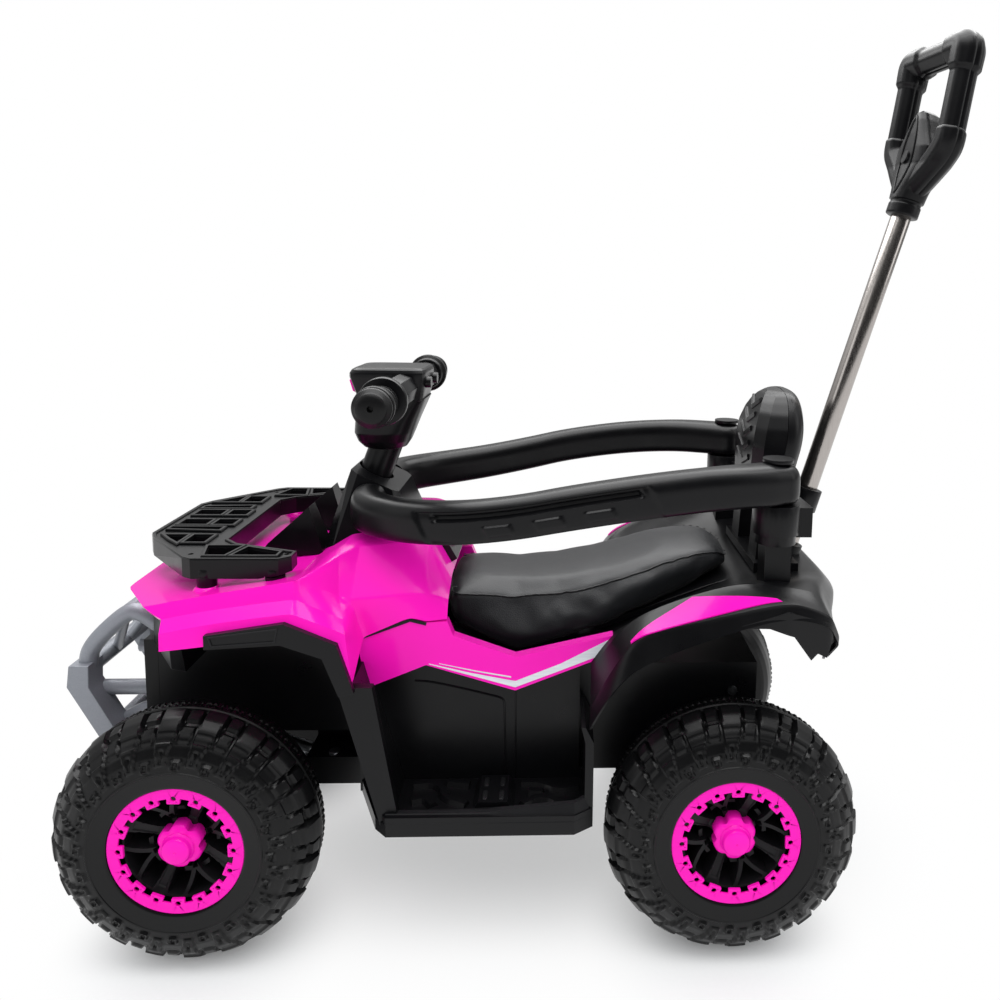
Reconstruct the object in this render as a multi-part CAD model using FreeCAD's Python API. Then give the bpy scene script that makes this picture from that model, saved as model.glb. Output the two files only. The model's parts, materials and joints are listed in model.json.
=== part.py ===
import FreeCAD, Part
import os

V = FreeCAD.Vector
os.makedirs("parts", exist_ok=True)

# Driving dimensions, in mm. Places are measured from the front axle (x), the middle plane (y)
# and the axle line (z); the sides are mirror images.
wheel_base = 520.0
front_axle_x = -315.0
tyre_radius = 125.0
wheel_inner_y = 113.0
wheel_width = 80.0
ring_radius = 62.0
lug_count = 20
lug_height = 7.0
axle_radius = 6.0
kingpin_y = 88.0
steer_arm = 70.0
crank_radius = 40.0
column_radius = 8.0
grip_radius = 16.5
grip_end_y = 189.0
guard_pin_x = 563.0
guard_pin_y = 121.0
guard_pin_radius = 8.0
tube_radius = 11.0
loop_half_width = 52.0
loop_radius = 14.0
loop_length = 162.0
wall = 3.5
run_clear = 0.06
move_gap = 0.4

axle_height = tyre_radius
span = wheel_base / 520.0
rear_axle_x = wheel_base / span


def at(x, y, z):
    return V(front_axle_x + x * span, y, axle_height + z)


def box(x0, x1, y0, y1, z0, z1):
    low = at(x0, y0, z0)
    size = at(x1, y1, z1) - low
    return Part.makeBox(size.x, size.y, size.z, low)


def flat(points):
    return Part.Face(Part.makePolygon(points + points[:1]))


# A side outline of (x, z) points carried across from y0 to y1.
def plate(outline, y0, y1):
    return flat([at(x, y0, z) for x, z in outline]).extrude(V(0, y1 - y0, 0))


# A plan outline of (x, y) points carried up from z0 to z1.
def slab(outline, z0, z1):
    return flat([at(x, y, z0) for x, y in outline]).extrude(V(0, 0, z1 - z0))


def rod(p, q, radius):
    return Part.makeCylinder(radius, p.distanceToPoint(q), p, q - p)


def ball(p, radius):
    return Part.makeSphere(radius, p)


def ruled(sections):
    return Part.makeLoft([Part.makePolygon(s + s[:1]) for s in sections], True, True)


def mirrored(shape):
    return shape.mirror(V(0, 0, 0), V(0, 1, 0))


def fused(shapes):
    return shapes[0].multiFuse(shapes[1:]).removeSplitter()


def both(shape):
    return [shape, mirrored(shape)]


def save(node, shape):
    shape.exportStep("parts/" + node + ".step")


def save_pair(node, right):
    save(node + "_right", right)
    save(node + "_left", mirrored(right))


# Bent rod: straight runs joined by arcs that leave each run at the length "bend" before its end.
def bent(points, radius, bend):
    edges = []
    start = points[0]
    for a, b, c in zip(points, points[1:], points[2:]):
        into = (b - a).normalize()
        out = (c - b).normalize()
        arc_radius = bend * (1 + into.dot(out)) / into.cross(out).Length
        half_cos = ((1 + into.dot(out)) / 2) ** 0.5
        middle = b + (out - into).normalize() * (arc_radius / half_cos - arc_radius)
        edges.append(Part.makeLine(start, b - into * bend))
        edges.append(Part.Arc(b - into * bend, middle, b + out * bend).toShape())
        start = b + out * bend
    edges.append(Part.makeLine(start, points[-1]))
    ring = Part.Wire(Part.makeCircle(radius, points[0], points[1] - points[0]))
    return Part.Wire(edges).makePipeShell([ring], True, True)


# A row of half-profile points from the middle outwards becomes a full row from left to right.
def full_row(half):
    right = [at(*p) for p in half]
    left = [at(p[0], -p[1], p[2]) for p in reversed(half)]
    return left + right[1:] if half[0][1] == 0 else left + right


# Each grid point moved along the surface normal, which points up and out.
def shifted(grid, distance):
    rows, cols = len(grid), len(grid[0])
    moved = []
    for i in range(rows):
        line = []
        for j in range(cols):
            back = grid[min(i + 1, rows - 1)][j] - grid[max(i - 1, 0)][j]
            across = grid[i][min(j + 1, cols - 1)] - grid[i][max(j - 1, 0)]
            normal = back.cross(across)
            normal.normalize()
            line.append(grid[i][j] + normal * distance)
        moved.append(line)
    return moved


# Closed solid from faces that meet edge to edge.
def sewn(faces):
    shell = Part.makeShell(faces)
    shell.sewShape()
    solid = Part.makeSolid(shell)
    if solid.Volume < 0:
        solid.reverse()
    return solid


# Two flat triangles, split along the shorter diagonal.
def patch(a, b, c, d):
    if a.distanceToPoint(c) <= b.distanceToPoint(d):
        return [flat([a, b, c]), flat([a, c, d])]
    return [flat([a, b, d]), flat([b, c, d])]


# Closed solid between two grids of points with the same rows and columns.
def skin(outer, inner):
    faces = []
    rows, cols = len(outer), len(outer[0])
    for i in range(rows - 1):
        for j in range(cols - 1):
            for g in (outer, inner):
                faces += patch(g[i][j], g[i][j + 1], g[i + 1][j + 1], g[i + 1][j])
        for j in (0, cols - 1):
            faces += patch(outer[i][j], outer[i + 1][j], inner[i + 1][j], inner[i][j])
    for j in range(cols - 1):
        for i in (0, rows - 1):
            faces += patch(outer[i][j], outer[i][j + 1], inner[i][j + 1], inner[i][j])
    return sewn(faces)


# Faceted block between two flat outlines with the same number of points.
def faceted(low, top):
    faces = [flat(low), flat(top)]
    for i in range(len(low)):
        faces += patch(low[i - 1], low[i], top[i], top[i - 1])
    return sewn(faces)


# Steering axis: raked line through the stem; height z gives the place on it.
rake = 0.380


def on_axis(z):
    return at(151 - rake * (328 - z), 0, z)


axis_up = (on_axis(400) - on_axis(0)).normalize()
axis_back = V(axis_up.z, 0, -axis_up.x)

# Seat underside, as (x, z) along the middle.
seat_line = [(240, 168), (250, 166), (305, 140), (393, 165), (466, 193), (510, 209), (536, 217)]
pan_thick = 6.0


def seat_under(x):
    for (xa, za), (xb, zb) in zip(seat_line, seat_line[1:]):
        if x <= xb:
            return za + (zb - za) * (x - xa) / (xb - xa)
    return seat_line[-1][1]


def pan_under(x):
    return seat_under(x) - pan_thick


# Lower body
hump_y = 112.0
hump_top = 163.0
front_box_y = 70.0
front_top = 165.0
front_low = 50.0
rear_box_y = 104.0
rear_top = 140.0
rear_low = 25.0
lug_low, lug_top = -8.0, 22.0
floor_low = 8.0
floor_top = 20.0
sill_y = 184.0


def hump_outline(t):
    top = [(x, pan_under(x) - t) for x in (372 - t, 305, 250)]
    return [(150 + t, floor_low), (372 - t, floor_low)] + top + [(243, hump_top - t), (150 + t, hump_top - t)]


tray = (217, 327, 55, floor_low + 4)
hump = plate(hump_outline(0), -hump_y, hump_y).cut(plate(hump_outline(wall), -hump_y + wall, hump_y - wall))
tray_out = box(tray[0] - wall, tray[1] + wall, -tray[2] - wall, tray[2] + wall, floor_low, 140)
tray_out = tray_out.common(plate(hump_outline(0), -hump_y, hump_y))
tray_in = box(tray[0], tray[1], -tray[2], tray[2], tray[3], 200)
front_box = box(-66, 152, -front_box_y, front_box_y, front_low, front_top)
front_box = front_box.cut(box(-62, 148, -front_box_y + wall, front_box_y - wall, 0, front_top - wall))
rear_box = box(366, 555, -rear_box_y, rear_box_y, rear_low, rear_top)
rear_box = rear_box.cut(box(372, 551, -rear_box_y + wall, rear_box_y - wall, rear_low + 4, rear_top - wall))
lug_plate = box(84, 152, -74, 74, lug_low, lug_top).fuse(box(84, 152, -30, 30, lug_top, front_low + wall))
axle_plate = plate([(500, rear_low), (508, -16), (532, -16), (540, rear_low)], 78, rear_box_y)
floor = slab([(150, hump_y - wall), (384, hump_y - wall), (384, 172), (366, sill_y), (190, sill_y),
              (178, 172)], floor_low, floor_top)
sill = slab([(184, 176), (384, 162), (384, 172), (366, sill_y), (190, sill_y)], floor_top, floor_top + 7)
front_wall = plate([(146, 152), (158, 152), (198, floor_low), (186, floor_low)], hump_y - wall, 177)
front_flange = plate([(146, 152), (178, 152), (203, floor_low), (186, floor_low)], 169, 178)
rear_wall = plate([(384, floor_low), (384, 92), (376, 108), (372, 108), (376, 92), (376, floor_low)],
                  hump_y - wall, 172)
floor_pad = plate([(268, floor_top), (274, 30), (302, 30), (308, floor_top)], 122, 166)
ear = plate([(300, floor_top), (305, 40), (317, 40), (322, floor_top)], 118, 122)
ear_out = ear.copy()
ear_out.translate(V(0, 50, 0))
wing = fused([floor, sill, front_wall, front_flange, rear_wall])
left_wing = mirrored(wing.fuse(floor_pad))
right_wing = fused([wing, ear, ear_out])
boss = rod(on_axis(front_top - 18), on_axis(front_top + 34), column_radius + 7)
lower_body = fused([hump, tray_out, front_box, rear_box, lug_plate, left_wing, right_wing, boss]
                   + both(axle_plate))
lower_body = lower_body.cut(tray_in)
lower_body = lower_body.cut(rod(on_axis(20), on_axis(260), column_radius + run_clear))
axle_line = rod(at(rear_axle_x, -150, 0), at(rear_axle_x, 150, 0), axle_radius)
lower_body = lower_body.cut(axle_line)
pedal_x, pedal_z, pedal_pin = 311, 33, 3.0
pedal_line = rod(at(pedal_x, 110, pedal_z), at(pedal_x, 176, pedal_z), pedal_pin + run_clear)
lower_body = lower_body.cut(pedal_line)
save("lower_body", lower_body)

# Accelerator pedal in the right footwell
tread = plate([(244, 38), (246, 44), (312, 38), (312, 31)], 126, 164)
pedal = tread.fuse(rod(at(pedal_x, 118, pedal_z), at(pedal_x, 172, pedal_z), pedal_pin))
pedal = pedal.fuse(rod(at(pedal_x, 126, pedal_z), at(pedal_x, 164, pedal_z), pedal_pin + 3))
for x in (256, 268, 280):
    pedal = pedal.cut(box(x, x + 5, 132, 158, 40, 50))
save("pedal", pedal)

# Battery in its tray, gearbox and motor on the rear box
save("battery", box(tray[0] + 4, tray[1] - 4, -tray[2] + 6, tray[2] - 6, tray[3], tray[3] + 94))
axle_room = rod(at(rear_axle_x, 30, 0), at(rear_axle_x, 80, 0), axle_radius + 1)
save("gearbox", box(468, 552, 34, 78, -30, rear_low).cut(axle_room))
motor = rod(at(488, -24, -4), at(488, 34, -4), 17).fuse(rod(at(488, -30, -4), at(488, -24, -4), 7))
save("motor", motor)

# Wheel profile as (radius, distance from the inner face)
hub_end = wheel_width - 28
seat_face = wheel_width - 7
nut_gap = 0.6
rim = ring_radius - 12
crown = tyre_radius - lug_height
bore = axle_radius + run_clear


def spun(profile):
    points = [V(r, 0, s) for r, s in profile]
    return flat(points).revolve(V(0, 0, 0), V(0, 0, 1), 360)


def ring_of(shape, count):
    turned = []
    for i in range(count):
        copy = shape.copy()
        copy.rotate(V(0, 0, 0), V(0, 0, 1), 360.0 * i / count)
        turned.append(copy)
    return turned


w = wheel_width
outside = [(bore, 0), (bore, hub_end), (19, hub_end), (19, hub_end - 6), (rim, hub_end - 6), (rim, seat_face),
           (ring_radius + 0.4, seat_face), (ring_radius + 0.4, w - 3), (crown - 32, w), (crown - 13, w - 4),
           (crown - 3, w - 16), (crown, w - 30), (tyre_radius - 1, w - 36), (tyre_radius - 1, w - 40),
           (crown + 3, w - 43), (crown + 3, 26), (crown - 4, 12), (crown - 14, 0)]
inside = [(crown - 20, 0), (crown - 10, 13), (crown - 5, 26), (crown - 5, w - 30), (crown - 16, w - 12),
          (crown - 34, w - 6), (rim + 4, w - 12), (rim + 4, hub_end - 22), (16, hub_end - 22), (16, 0)]
tyre = spun(outside + inside)
window = flat([V(24, -4, 0), V(rim - 4, -14, 0), V(rim - 1, 0, 0), V(rim - 4, 14, 0), V(24, 4, 0)])
window = window.extrude(V(0, 0, 30))
window.translate(V(0, 0, hub_end - 18))
tyre = tyre.cut(Part.makeCompound(ring_of(window, 8)))
lug = Part.makeBox(32, 22, 26, V(crown - 22, -11, w - 36))
lug = lug.common(spun([(crown - 24, w - 36), (tyre_radius, w - 36), (tyre_radius, w - 20),
                       (crown - 4, w - 10)]))
small_lug = Part.makeBox(20, 16, 14, V(crown - 10, -8, w - 36))
small_lug = small_lug.common(spun([(crown - 24, w - 36), (tyre_radius - 2, w - 36),
                                   (tyre_radius - 2, w - 22)]))
tyre = tyre.multiFuse(ring_of(lug, lug_count))
half_step = 180.0 / lug_count
turned_lugs = ring_of(small_lug, lug_count)
for piece in turned_lugs:
    piece.rotate(V(0, 0, 0), V(0, 0, 1), half_step)
tyre = tyre.multiFuse(turned_lugs).removeSplitter()
trim_ring = spun([(rim + 2, seat_face), (ring_radius, seat_face), (ring_radius, w - 4), (rim + 2, w - 4)])
tab = Part.makeBox(8, 12, 3, V(rim - 3, -6, seat_face))
ring_hole = Part.makeCylinder(2.4, 20, V(rim + 2, 0, seat_face - 5))
ring_holes = Part.makeCompound(ring_of(ring_hole, 16))
trim_ring = trim_ring.multiFuse(ring_of(tab, 16)).cut(ring_holes).removeSplitter()
cap = spun([(axle_radius + 5, hub_end), (19, hub_end), (19, hub_end + 12), (13, hub_end + 14),
            (12, hub_end + 26), (0, hub_end + 26), (0, hub_end + 16), (axle_radius + 5, hub_end + 16)])
cap_notch = Part.makeCylinder(5, 14, V(22, 0, hub_end + 3))
cap = cap.cut(Part.makeCompound(ring_of(cap_notch, 6)))

turn_out = FreeCAD.Rotation(V(1, 0, 0), -90)


def wheel_place(x):
    return FreeCAD.Placement(at(x, wheel_inner_y, 0), turn_out)


for name, x in (("front", 0), ("rear", rear_axle_x)):
    for node, shape in (("tyre", tyre), ("ring", trim_ring), ("cap", cap)):
        placed = shape.copy()
        placed.Placement = wheel_place(x)
        save_pair(node + "_" + name, placed)

# Rear axle with its nuts, fixed in the lower body
nut_in = wheel_inner_y + hub_end + nut_gap
nut_out = nut_in + 6
axle_end = nut_out + 4
rear_axle = rod(at(rear_axle_x, -axle_end, 0), at(rear_axle_x, axle_end, 0), axle_radius)
nut = rod(at(rear_axle_x, nut_in, 0), at(rear_axle_x, nut_out, 0), axle_radius + 3.5)
collar = rod(at(rear_axle_x, rear_box_y, 0), at(rear_axle_x, wheel_inner_y - nut_gap, 0), axle_radius + 5)
rear_axle = fused([rear_axle] + both(nut) + both(collar))
save("rear_axle", rear_axle)

# Front beam, knuckles and tie rod
beam_top = 10.0
knuckle_top = -beam_top - move_gap
knuckle_low = -22.0
kingpin_radius = 6.0
beam = box(-15, 15, -kingpin_y, kingpin_y, -beam_top, beam_top)
beam = beam.fuse(box(-14, 14, -45, 45, beam_top, front_low - 6))
beam = beam.fuse(box(-15, 15, -front_box_y, front_box_y, front_low - 6, front_low))
beam_end = rod(at(0, kingpin_y, -beam_top), at(0, kingpin_y, beam_top), 15)
king_hole = rod(at(0, kingpin_y, -30), at(0, kingpin_y, 30), kingpin_radius + run_clear)
beam = fused([beam] + both(beam_end))
for hole in both(king_hole):
    beam = beam.cut(hole)
save("front_beam", beam)

block_y = kingpin_y + 16
tie_pin = 4.0
stub = rod(at(0, block_y, 0), at(0, axle_end, 0), axle_radius)
stub_nut = rod(at(0, nut_in, 0), at(0, nut_out, 0), axle_radius + 3.5)
knuckle = fused([rod(at(0, kingpin_y, knuckle_low), at(0, kingpin_y, knuckle_top), 14),
                 box(-13, 13, kingpin_y, wheel_inner_y - 3, knuckle_low, knuckle_top),
                 box(-13, 13, block_y, wheel_inner_y - 3, knuckle_low, 13),
                 rod(at(0, kingpin_y, knuckle_top), at(0, kingpin_y, 15), kingpin_radius),
                 rod(at(0, kingpin_y, beam_top + move_gap), at(0, kingpin_y, 15), kingpin_radius + 3),
                 rod(at(0, wheel_inner_y - 3, 0), at(0, wheel_inner_y - nut_gap, 0), axle_radius + 5),
                 stub, stub_nut,
                 box(0, steer_arm, kingpin_y - 6, kingpin_y + 6, knuckle_low, knuckle_low + 8),
                 rod(at(steer_arm, kingpin_y, knuckle_low), at(steer_arm, kingpin_y, knuckle_low + 8), 9)])
knuckle = knuckle.cut(rod(at(steer_arm, kingpin_y, -40), at(steer_arm, kingpin_y, 0), tie_pin + run_clear))
save_pair("knuckle", knuckle)

tie_top = knuckle_low - move_gap
tie_low = tie_top - 9.0
head_low = knuckle_low + 8 + move_gap
tie_end = rod(at(steer_arm, kingpin_y, tie_low), at(steer_arm, kingpin_y, tie_top), 9)
tie_stem = rod(at(steer_arm, kingpin_y, tie_top), at(steer_arm, kingpin_y, head_low), tie_pin)
tie_head = rod(at(steer_arm, kingpin_y, head_low), at(steer_arm, kingpin_y, head_low + 2), tie_pin + 2)
crank_root = on_axis(4)
crank_end = crank_root + axis_back * crank_radius
pin_radius = 4.5
slot_x = (crank_end.x - front_axle_x) / span - rake * (crank_end.z - axle_height - tie_low + 4.5)
tie = fused([box(steer_arm - 6, steer_arm + 6, -kingpin_y, kingpin_y, tie_low, tie_top),
             box(slot_x - 17, steer_arm + 6, -17, 17, tie_low, tie_top)]
            + both(tie_end) + both(tie_stem) + both(tie_head))
tie = tie.cut(box(slot_x - 13, slot_x + 12, -pin_radius - 1.5, pin_radius + 1.5, tie_low - 1, tie_top + 1))
save("tie_rod", tie)

# Steering column with its crank, handlebar, grips and horn buttons
bar_z = 412.0
bar_x = (on_axis(bar_z).x - front_axle_x) / span
flange_y = 110.0
pin_low = crank_end - axis_up * 30
column = fused([rod(crank_root, on_axis(392), column_radius), ball(crank_root, column_radius),
                rod(crank_root, crank_end, 6.5), ball(crank_end, 6.5), rod(crank_end, pin_low, pin_radius)])
save("steering_column", column)


def ring_section(x0, x1, y, z, cut):
    return [at(x0 + cut, -y, z), at(x1 - cut, -y, z), at(x1, -y + cut, z), at(x1, y - cut, z),
            at(x1 - cut, y, z), at(x0 + cut, y, z), at(x0, y - cut, z), at(x0, -y + cut, z)]


stem_radius = 19.0
cover = ruled([ring_section(134, 180, 24, 347, 8), ring_section(127, 188, 34, 362, 10),
               ring_section(134, 201, 35, 396, 9), ring_section(136, 204, 34, 404, 6)])
pod = ruled([ring_section(134, 204, 36, 398, 5), ring_section(126, 206, 40, 428, 5),
             ring_section(130, 204, 37, 434, 4)])
arm_end = rod(at(bar_x, 20, bar_z), at(bar_x, flange_y, bar_z), 15)
flange = rod(at(bar_x, flange_y - 6, bar_z), at(bar_x, flange_y, bar_z), 23)
handlebar = fused([cover, pod, rod(on_axis(322), on_axis(352), stem_radius)] + both(arm_end) + both(flange))
handlebar = handlebar.cut(rod(on_axis(300), on_axis(392), column_radius))
horn_r, horn_y, horn_z = 6.0, 22.0, 418.0
horn_hole = rod(at(196, horn_y, horn_z), at(230, horn_y, horn_z), horn_r + move_gap)
for hole in both(horn_hole):
    handlebar = handlebar.cut(hole)
save("handlebar", handlebar)
horn = rod(at(199, horn_y, horn_z), at(211, horn_y, horn_z), horn_r)
save_pair("horn", horn)

grip = rod(at(bar_x, flange_y, bar_z), at(bar_x, grip_end_y, bar_z), grip_radius - 2)
bands = [rod(at(bar_x, y, bar_z), at(bar_x, y + 5, bar_z), grip_radius) for y in (116, 128, 140, 152, 164)]
bands.append(rod(at(bar_x, grip_end_y - 13, bar_z), at(bar_x, grip_end_y, bar_z), grip_radius + 2))
grip = fused([grip] + bands)
save_pair("grip", grip)

# Steering cowl with vent pods and the bosses that the guard arms close against
guard_front_y = 50.0
guard_front_z = 293.0
cowl_top = [(128, 38), (136, 44), (172, 44), (178, 38)]
cowl_low = [(98, 44), (112, 64), (184, 64), (196, 54)]


# Half outline of (x, y) points on a plane that rises or falls along x.
def sloped(half, z0, rise):
    turn = half + [(x, -y) for x, y in reversed(half)]
    return [at(x, y, z0 + rise * (x - half[0][0])) for x, y in turn]


cowl = faceted(sloped(cowl_low, 240, 0.1), sloped(cowl_top, 326, -0.48))
vent = faceted([at(36, 34, 238), at(36, 60, 238), at(46, 60, 251), at(46, 36, 251)],
               [at(104, 26, 240), at(104, 62, 240), at(88, 56, 289), at(88, 34, 289)])
cowl_boss = rod(at(150, 30, guard_front_z), at(150, guard_front_y - move_gap, guard_front_z), 18)
cowl_leg = box(110, 146, 26, 50, front_top, 252)
cowl = fused([cowl] + both(vent) + both(cowl_boss) + both(cowl_leg))
cowl = cowl.cut(rod(on_axis(100), on_axis(360), stem_radius + 1))
save("cowl", cowl)

# Hood and front fenders: rows from nose to seat, each from the middle outwards
hood_rows = [
    [(-68, 0, 204), (-66, 98, 204), (-32, 148, 211), (-8, 160, 206), (-4, 168, 200), (-3, 172, 189)],
    [(-78, 0, 219), (-76, 100, 219), (-36, 157, 223), (-14, 170, 212), (-11, 178, 202), (-10, 181, 189)],
    [(30, 0, 238), (30, 105, 236), (33, 159, 236), (34, 170, 222), (34, 179, 212), (34, 182, 194)],
    [(104, 0, 250), (104, 104, 250), (106, 159, 248), (106, 170, 231), (107, 179, 221), (104, 182, 206)],
    [(136, 0, 260), (134, 92, 260), (134, 128, 218), (138, 150, 205), (147, 170, 198), (160, 177, 154)],
    [(152, 0, 263), (152, 88, 263), (147, 127, 217), (151, 127, 206), (153, 127, 192), (159, 126, 178)],
    [(202, 0, 266), (202, 80, 266), (204, 121, 221), (204, 123, 212), (204, 125, 205), (204, 126, 198)],
    [(216, 0, 261), (216, 78, 261), (220, 118, 219), (220, 122, 209), (220, 124, 201), (220, 126, 194)],
    [(238, 0, 222), (238, 72, 222), (240, 113, 212), (240, 118, 207), (240, 121, 201), (240, 123, 195)]]
hood_grid = [full_row(r) for r in hood_rows]
hood = skin(hood_grid, shifted(hood_grid, -wall))
post_x, post_y, rack_low = (14, 78), 132, 242
hood_boss = [rod(at(x, y, 228), at(x, y, rack_low + 2 * i), 11)
             for i, x in enumerate(post_x) for y in (-post_y, post_y)]
hood_rib = box(26, 34, -62, 62, front_top, 236)
hood_foot = box(-34, -26, -62, 62, front_top, 225)
hood = fused([hood, hood_rib, hood_foot] + hood_boss).cut(cowl)
hood = hood.cut(rod(on_axis(100), on_axis(360), stem_radius + 1))
hood = max(hood.Solids, key=lambda s: s.Volume)
save("hood", hood)

# Front fender trim on the arch edge
trim_line = [(32, 206), (102, 217), (149, 197), (164, 151), (150, 148), (136, 184), (99, 197), (32, 193)]
trim = plate(trim_line, 181, 187).cut(hood)
trim = max(trim.Solids, key=lambda s: s.Volume)
save_pair("trim", trim)

# Grille mask under the nose and the lower front panel, the bumper in front of it
panel_x = -80
mask = ruled([sloped([(-56, 92), (-22, 140), (-14, 140)], 212, -0.2),
              sloped([(-70, 70), (-30, 118), (-16, 118)], 150, -0.2)])
mask = mask.cut(box(-66, 0, -front_box_y, front_box_y, front_low, front_top))
mask = mask.cut(hood)
mask = max(mask.Solids, key=lambda s: s.Volume)
low_panel = box(panel_x, -66, -front_box_y, front_box_y, 62, 151)
grille = mask.fuse(low_panel).removeSplitter()
save("grille", grille)

beam_line = [(-153, 126), (-156, 103), (-124, 45), (-108, 55), (-134, 103), (-133, 126)]
bumper_y, upright_y, strut_y = 78, 62, 52
front_plate = plate(beam_line, -bumper_y, bumper_y)
upright = bent([at(-142, upright_y, 120), at(-138, upright_y, 142), at(-100, upright_y, 178),
                at(-86, upright_y, 180), at(-62, upright_y, 162)], 9, 6.5 * span)
strut = rod(at(-146, strut_y, 91), at(panel_x, strut_y, 91), 8)
low_strut = bent([at(-117, strut_y, 53), at(-97, strut_y, 66), at(panel_x, strut_y, 72)], 6, 7 * span)
brace = rod(at(-100, upright_y, 176), at(-138, 12, 118), 5)
cross = rod(at(-97, -upright_y, 179), at(-97, upright_y, 179), 8)
bumper = fused([front_plate, cross] + both(upright) + both(strut) + both(low_strut) + both(brace))
bumper = bumper.cut(grille).cut(hood).cut(box(-66, 0, -front_box_y, front_box_y, front_low, front_top))
bumper = max(bumper.Solids, key=lambda s: s.Volume)
save("bumper", bumper)

# Rack with its cut-outs, standing on four posts
rack_top = 260.0
rack_half = [(-72, 0), (-72, 58), (-64, 72), (-8, 134), (2, 140), (84, 140), (94, 132), (94, 116),
             (28, 92), (14, 78), (14, 0)]
rack_line = [(x, -y) for x, y in reversed(rack_half)] + rack_half[1:-1]
rack = slab(rack_line, rack_low, rack_top)
holes = [[(-54, 66), (-32, 66), (-32, 90), (-44, 78)], [(-25, 66), (-6, 66), (-6, 90), (-25, 90)],
         [(4, 102), (36, 102), (30, 130), (12, 130)], [(44, 106), (78, 120), (78, 130), (38, 130)],
         [(-58, 10), (-30, 10), (-30, 28), (-58, 28)], [(-22, 10), (-2, 10), (-2, 28), (-22, 28)],
         [(-60, 38), (-8, 38), (-8, 48), (-60, 44)]]
for outline in holes:
    for side in (1, -1):
        rack = rack.cut(slab([(x, side * y) for x, y in outline], rack_low - 5, rack_top + 5))
bolt_y, bolt_radius = 121, 2.5
for x in (-5, 86):
    for y in (-bolt_y, bolt_y):
        rack = rack.cut(rod(at(x, y, rack_low - 5), at(x, y, rack_top + 5), bolt_radius))
posts = [rod(at(x, y, rack_low + 2 * i), at(x, y, rack_low + 8), 9)
         for i, x in enumerate(post_x) for y in (-post_y, post_y)]
rack = rack.cut(Part.makeCompound(hood_boss)).cut(cowl)
rack = fused([rack] + posts).cut(hood)
save("rack", max(rack.Solids, key=lambda s: s.Volume))

# Side panels between hood, seat and footwell
panel_line = [(152, 176), (204, 196), (220, 192), (240, 193), (246, 178), (307, 156), (404, 178),
              (396, 156), (307, 121), (219, 148), (160, 124)]
panel = plate(panel_line, hump_y, 124)
panel = panel.cut(hood)
panel = max(panel.Solids, key=lambda s: s.Volume)

# Rear body with both fenders and tail: rows from the footwell to the tail, middle outwards
rear_rows = [
    [(384, 84, 152), (384, 113, 160), (382, 130, 146), (380, 166, 124), (379, 178, 110)],
    [(408, 86, 160), (410, 116, 184), (412, 138, 194), (414, 174, 196), (404, 182, 160)],
    [(446, 84, 174), (446, 122, 208), (444, 146, 214), (448, 178, 204), (440, 184, 182)],
    [(505, 80, 198), (505, 126, 226), (490, 146, 229), (508, 179, 218), (500, 185, 204)],
    [(552, 74, 224), (556, 126, 241), (530, 148, 238), (568, 179, 231), (562, 185, 221)],
    [(632, 70, 224), (604, 124, 232), (598, 150, 228), (602, 172, 214), (600, 176, 206)],
    [(646, 66, 206), (620, 120, 206), (614, 148, 202), (614, 166, 194), (613, 168, 188)],
    [(644, 62, 176), (622, 116, 150), (612, 140, 160), (610, 158, 176), (609, 160, 174)]]
rear_grid = [full_row(r) for r in rear_rows]
rear_shell = skin(rear_grid, shifted(rear_grid, -wall))

# Backrest frame with guard posts, on the rear deck
deck_z = 224.0
guard_low, guard_high = 314.0, 354.0
frame_base = box(556, 604, -70, 70, deck_z, deck_z + 10)
leg = plate([(560, deck_z), (600, deck_z), (602, 330), (566, 330)], 26, 58)
leg_hole = plate([(566, deck_z + 14), (594, deck_z + 14), (594, 290), (582, 306), (570, 290)], 30, 54)
leg = leg.cut(leg_hole)
bridge = box(566, 600, 26, guard_pin_y, guard_low - 36, guard_low - 6)


# A round piece on the guard hinge line between two heights.
def on_hinge(z0, z1, radius):
    return rod(at(guard_pin_x, guard_pin_y, z0), at(guard_pin_x, guard_pin_y, z1), radius)


post = on_hinge(guard_low - 30, guard_low - move_gap, 23)
post_ring = on_hinge(guard_low - 40, guard_low - 30, 20)
post_leg = box(guard_pin_x - 13, guard_pin_x + 13, guard_pin_y - 13, guard_pin_y + 13, 222, guard_low - 38)
pin = on_hinge(guard_low - 2, guard_high + 4, guard_pin_radius)
pin_cap = on_hinge(guard_high + move_gap, guard_high + 4, 15)
tube_x, tube_z = 611.0, 228.0
tube_dir = V(115 * span, 0, 390).normalize()


def on_tube(z):
    return at(tube_x, 0, tube_z) + tube_dir * ((z - tube_z) / tube_dir.z)


clip = rod(on_tube(276), on_tube(300), tube_radius + 6)
clip_arm = box(590, 628, -12, 12, 280, 294)
frame = fused([frame_base, clip, clip_arm, box(580, 600, -30, 30, 276, 320)] + both(leg) + both(bridge)
              + both(post) + both(post_ring) + both(post_leg) + both(pin) + both(pin_cap))
frame = frame.cut(rod(on_tube(100), on_tube(400), tube_radius + run_clear))
save("backrest_frame", frame)

socket_top = 236.0
socket_low = 156.0
socket = rod(on_tube(socket_low), on_tube(socket_top), tube_radius + 5)
rear_rib = box(430, 436, -60, 60, rear_top, 166)
tail_rib = box(540, 546, -96, 96, rear_top, 217)
rear_body = fused([rear_shell, rear_rib, tail_rib]).cut(frame).cut(socket)
rear_body = max(rear_body.Solids, key=lambda s: s.Volume)
rear_body = rear_body.cut(plate(panel_line, hump_y, 124)).cut(plate(panel_line, -124, -hump_y))
rear_body = max(rear_body.Solids, key=lambda s: s.Volume)
save("rear_body", rear_body)
socket = socket.cut(frame).cut(rod(on_tube(socket_low + 4), on_tube(300), tube_radius + run_clear))
save("handle_socket", socket)
panel = panel.cut(lower_body)
save_pair("side_panel", max(panel.Solids, key=lambda s: s.Volume))

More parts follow.
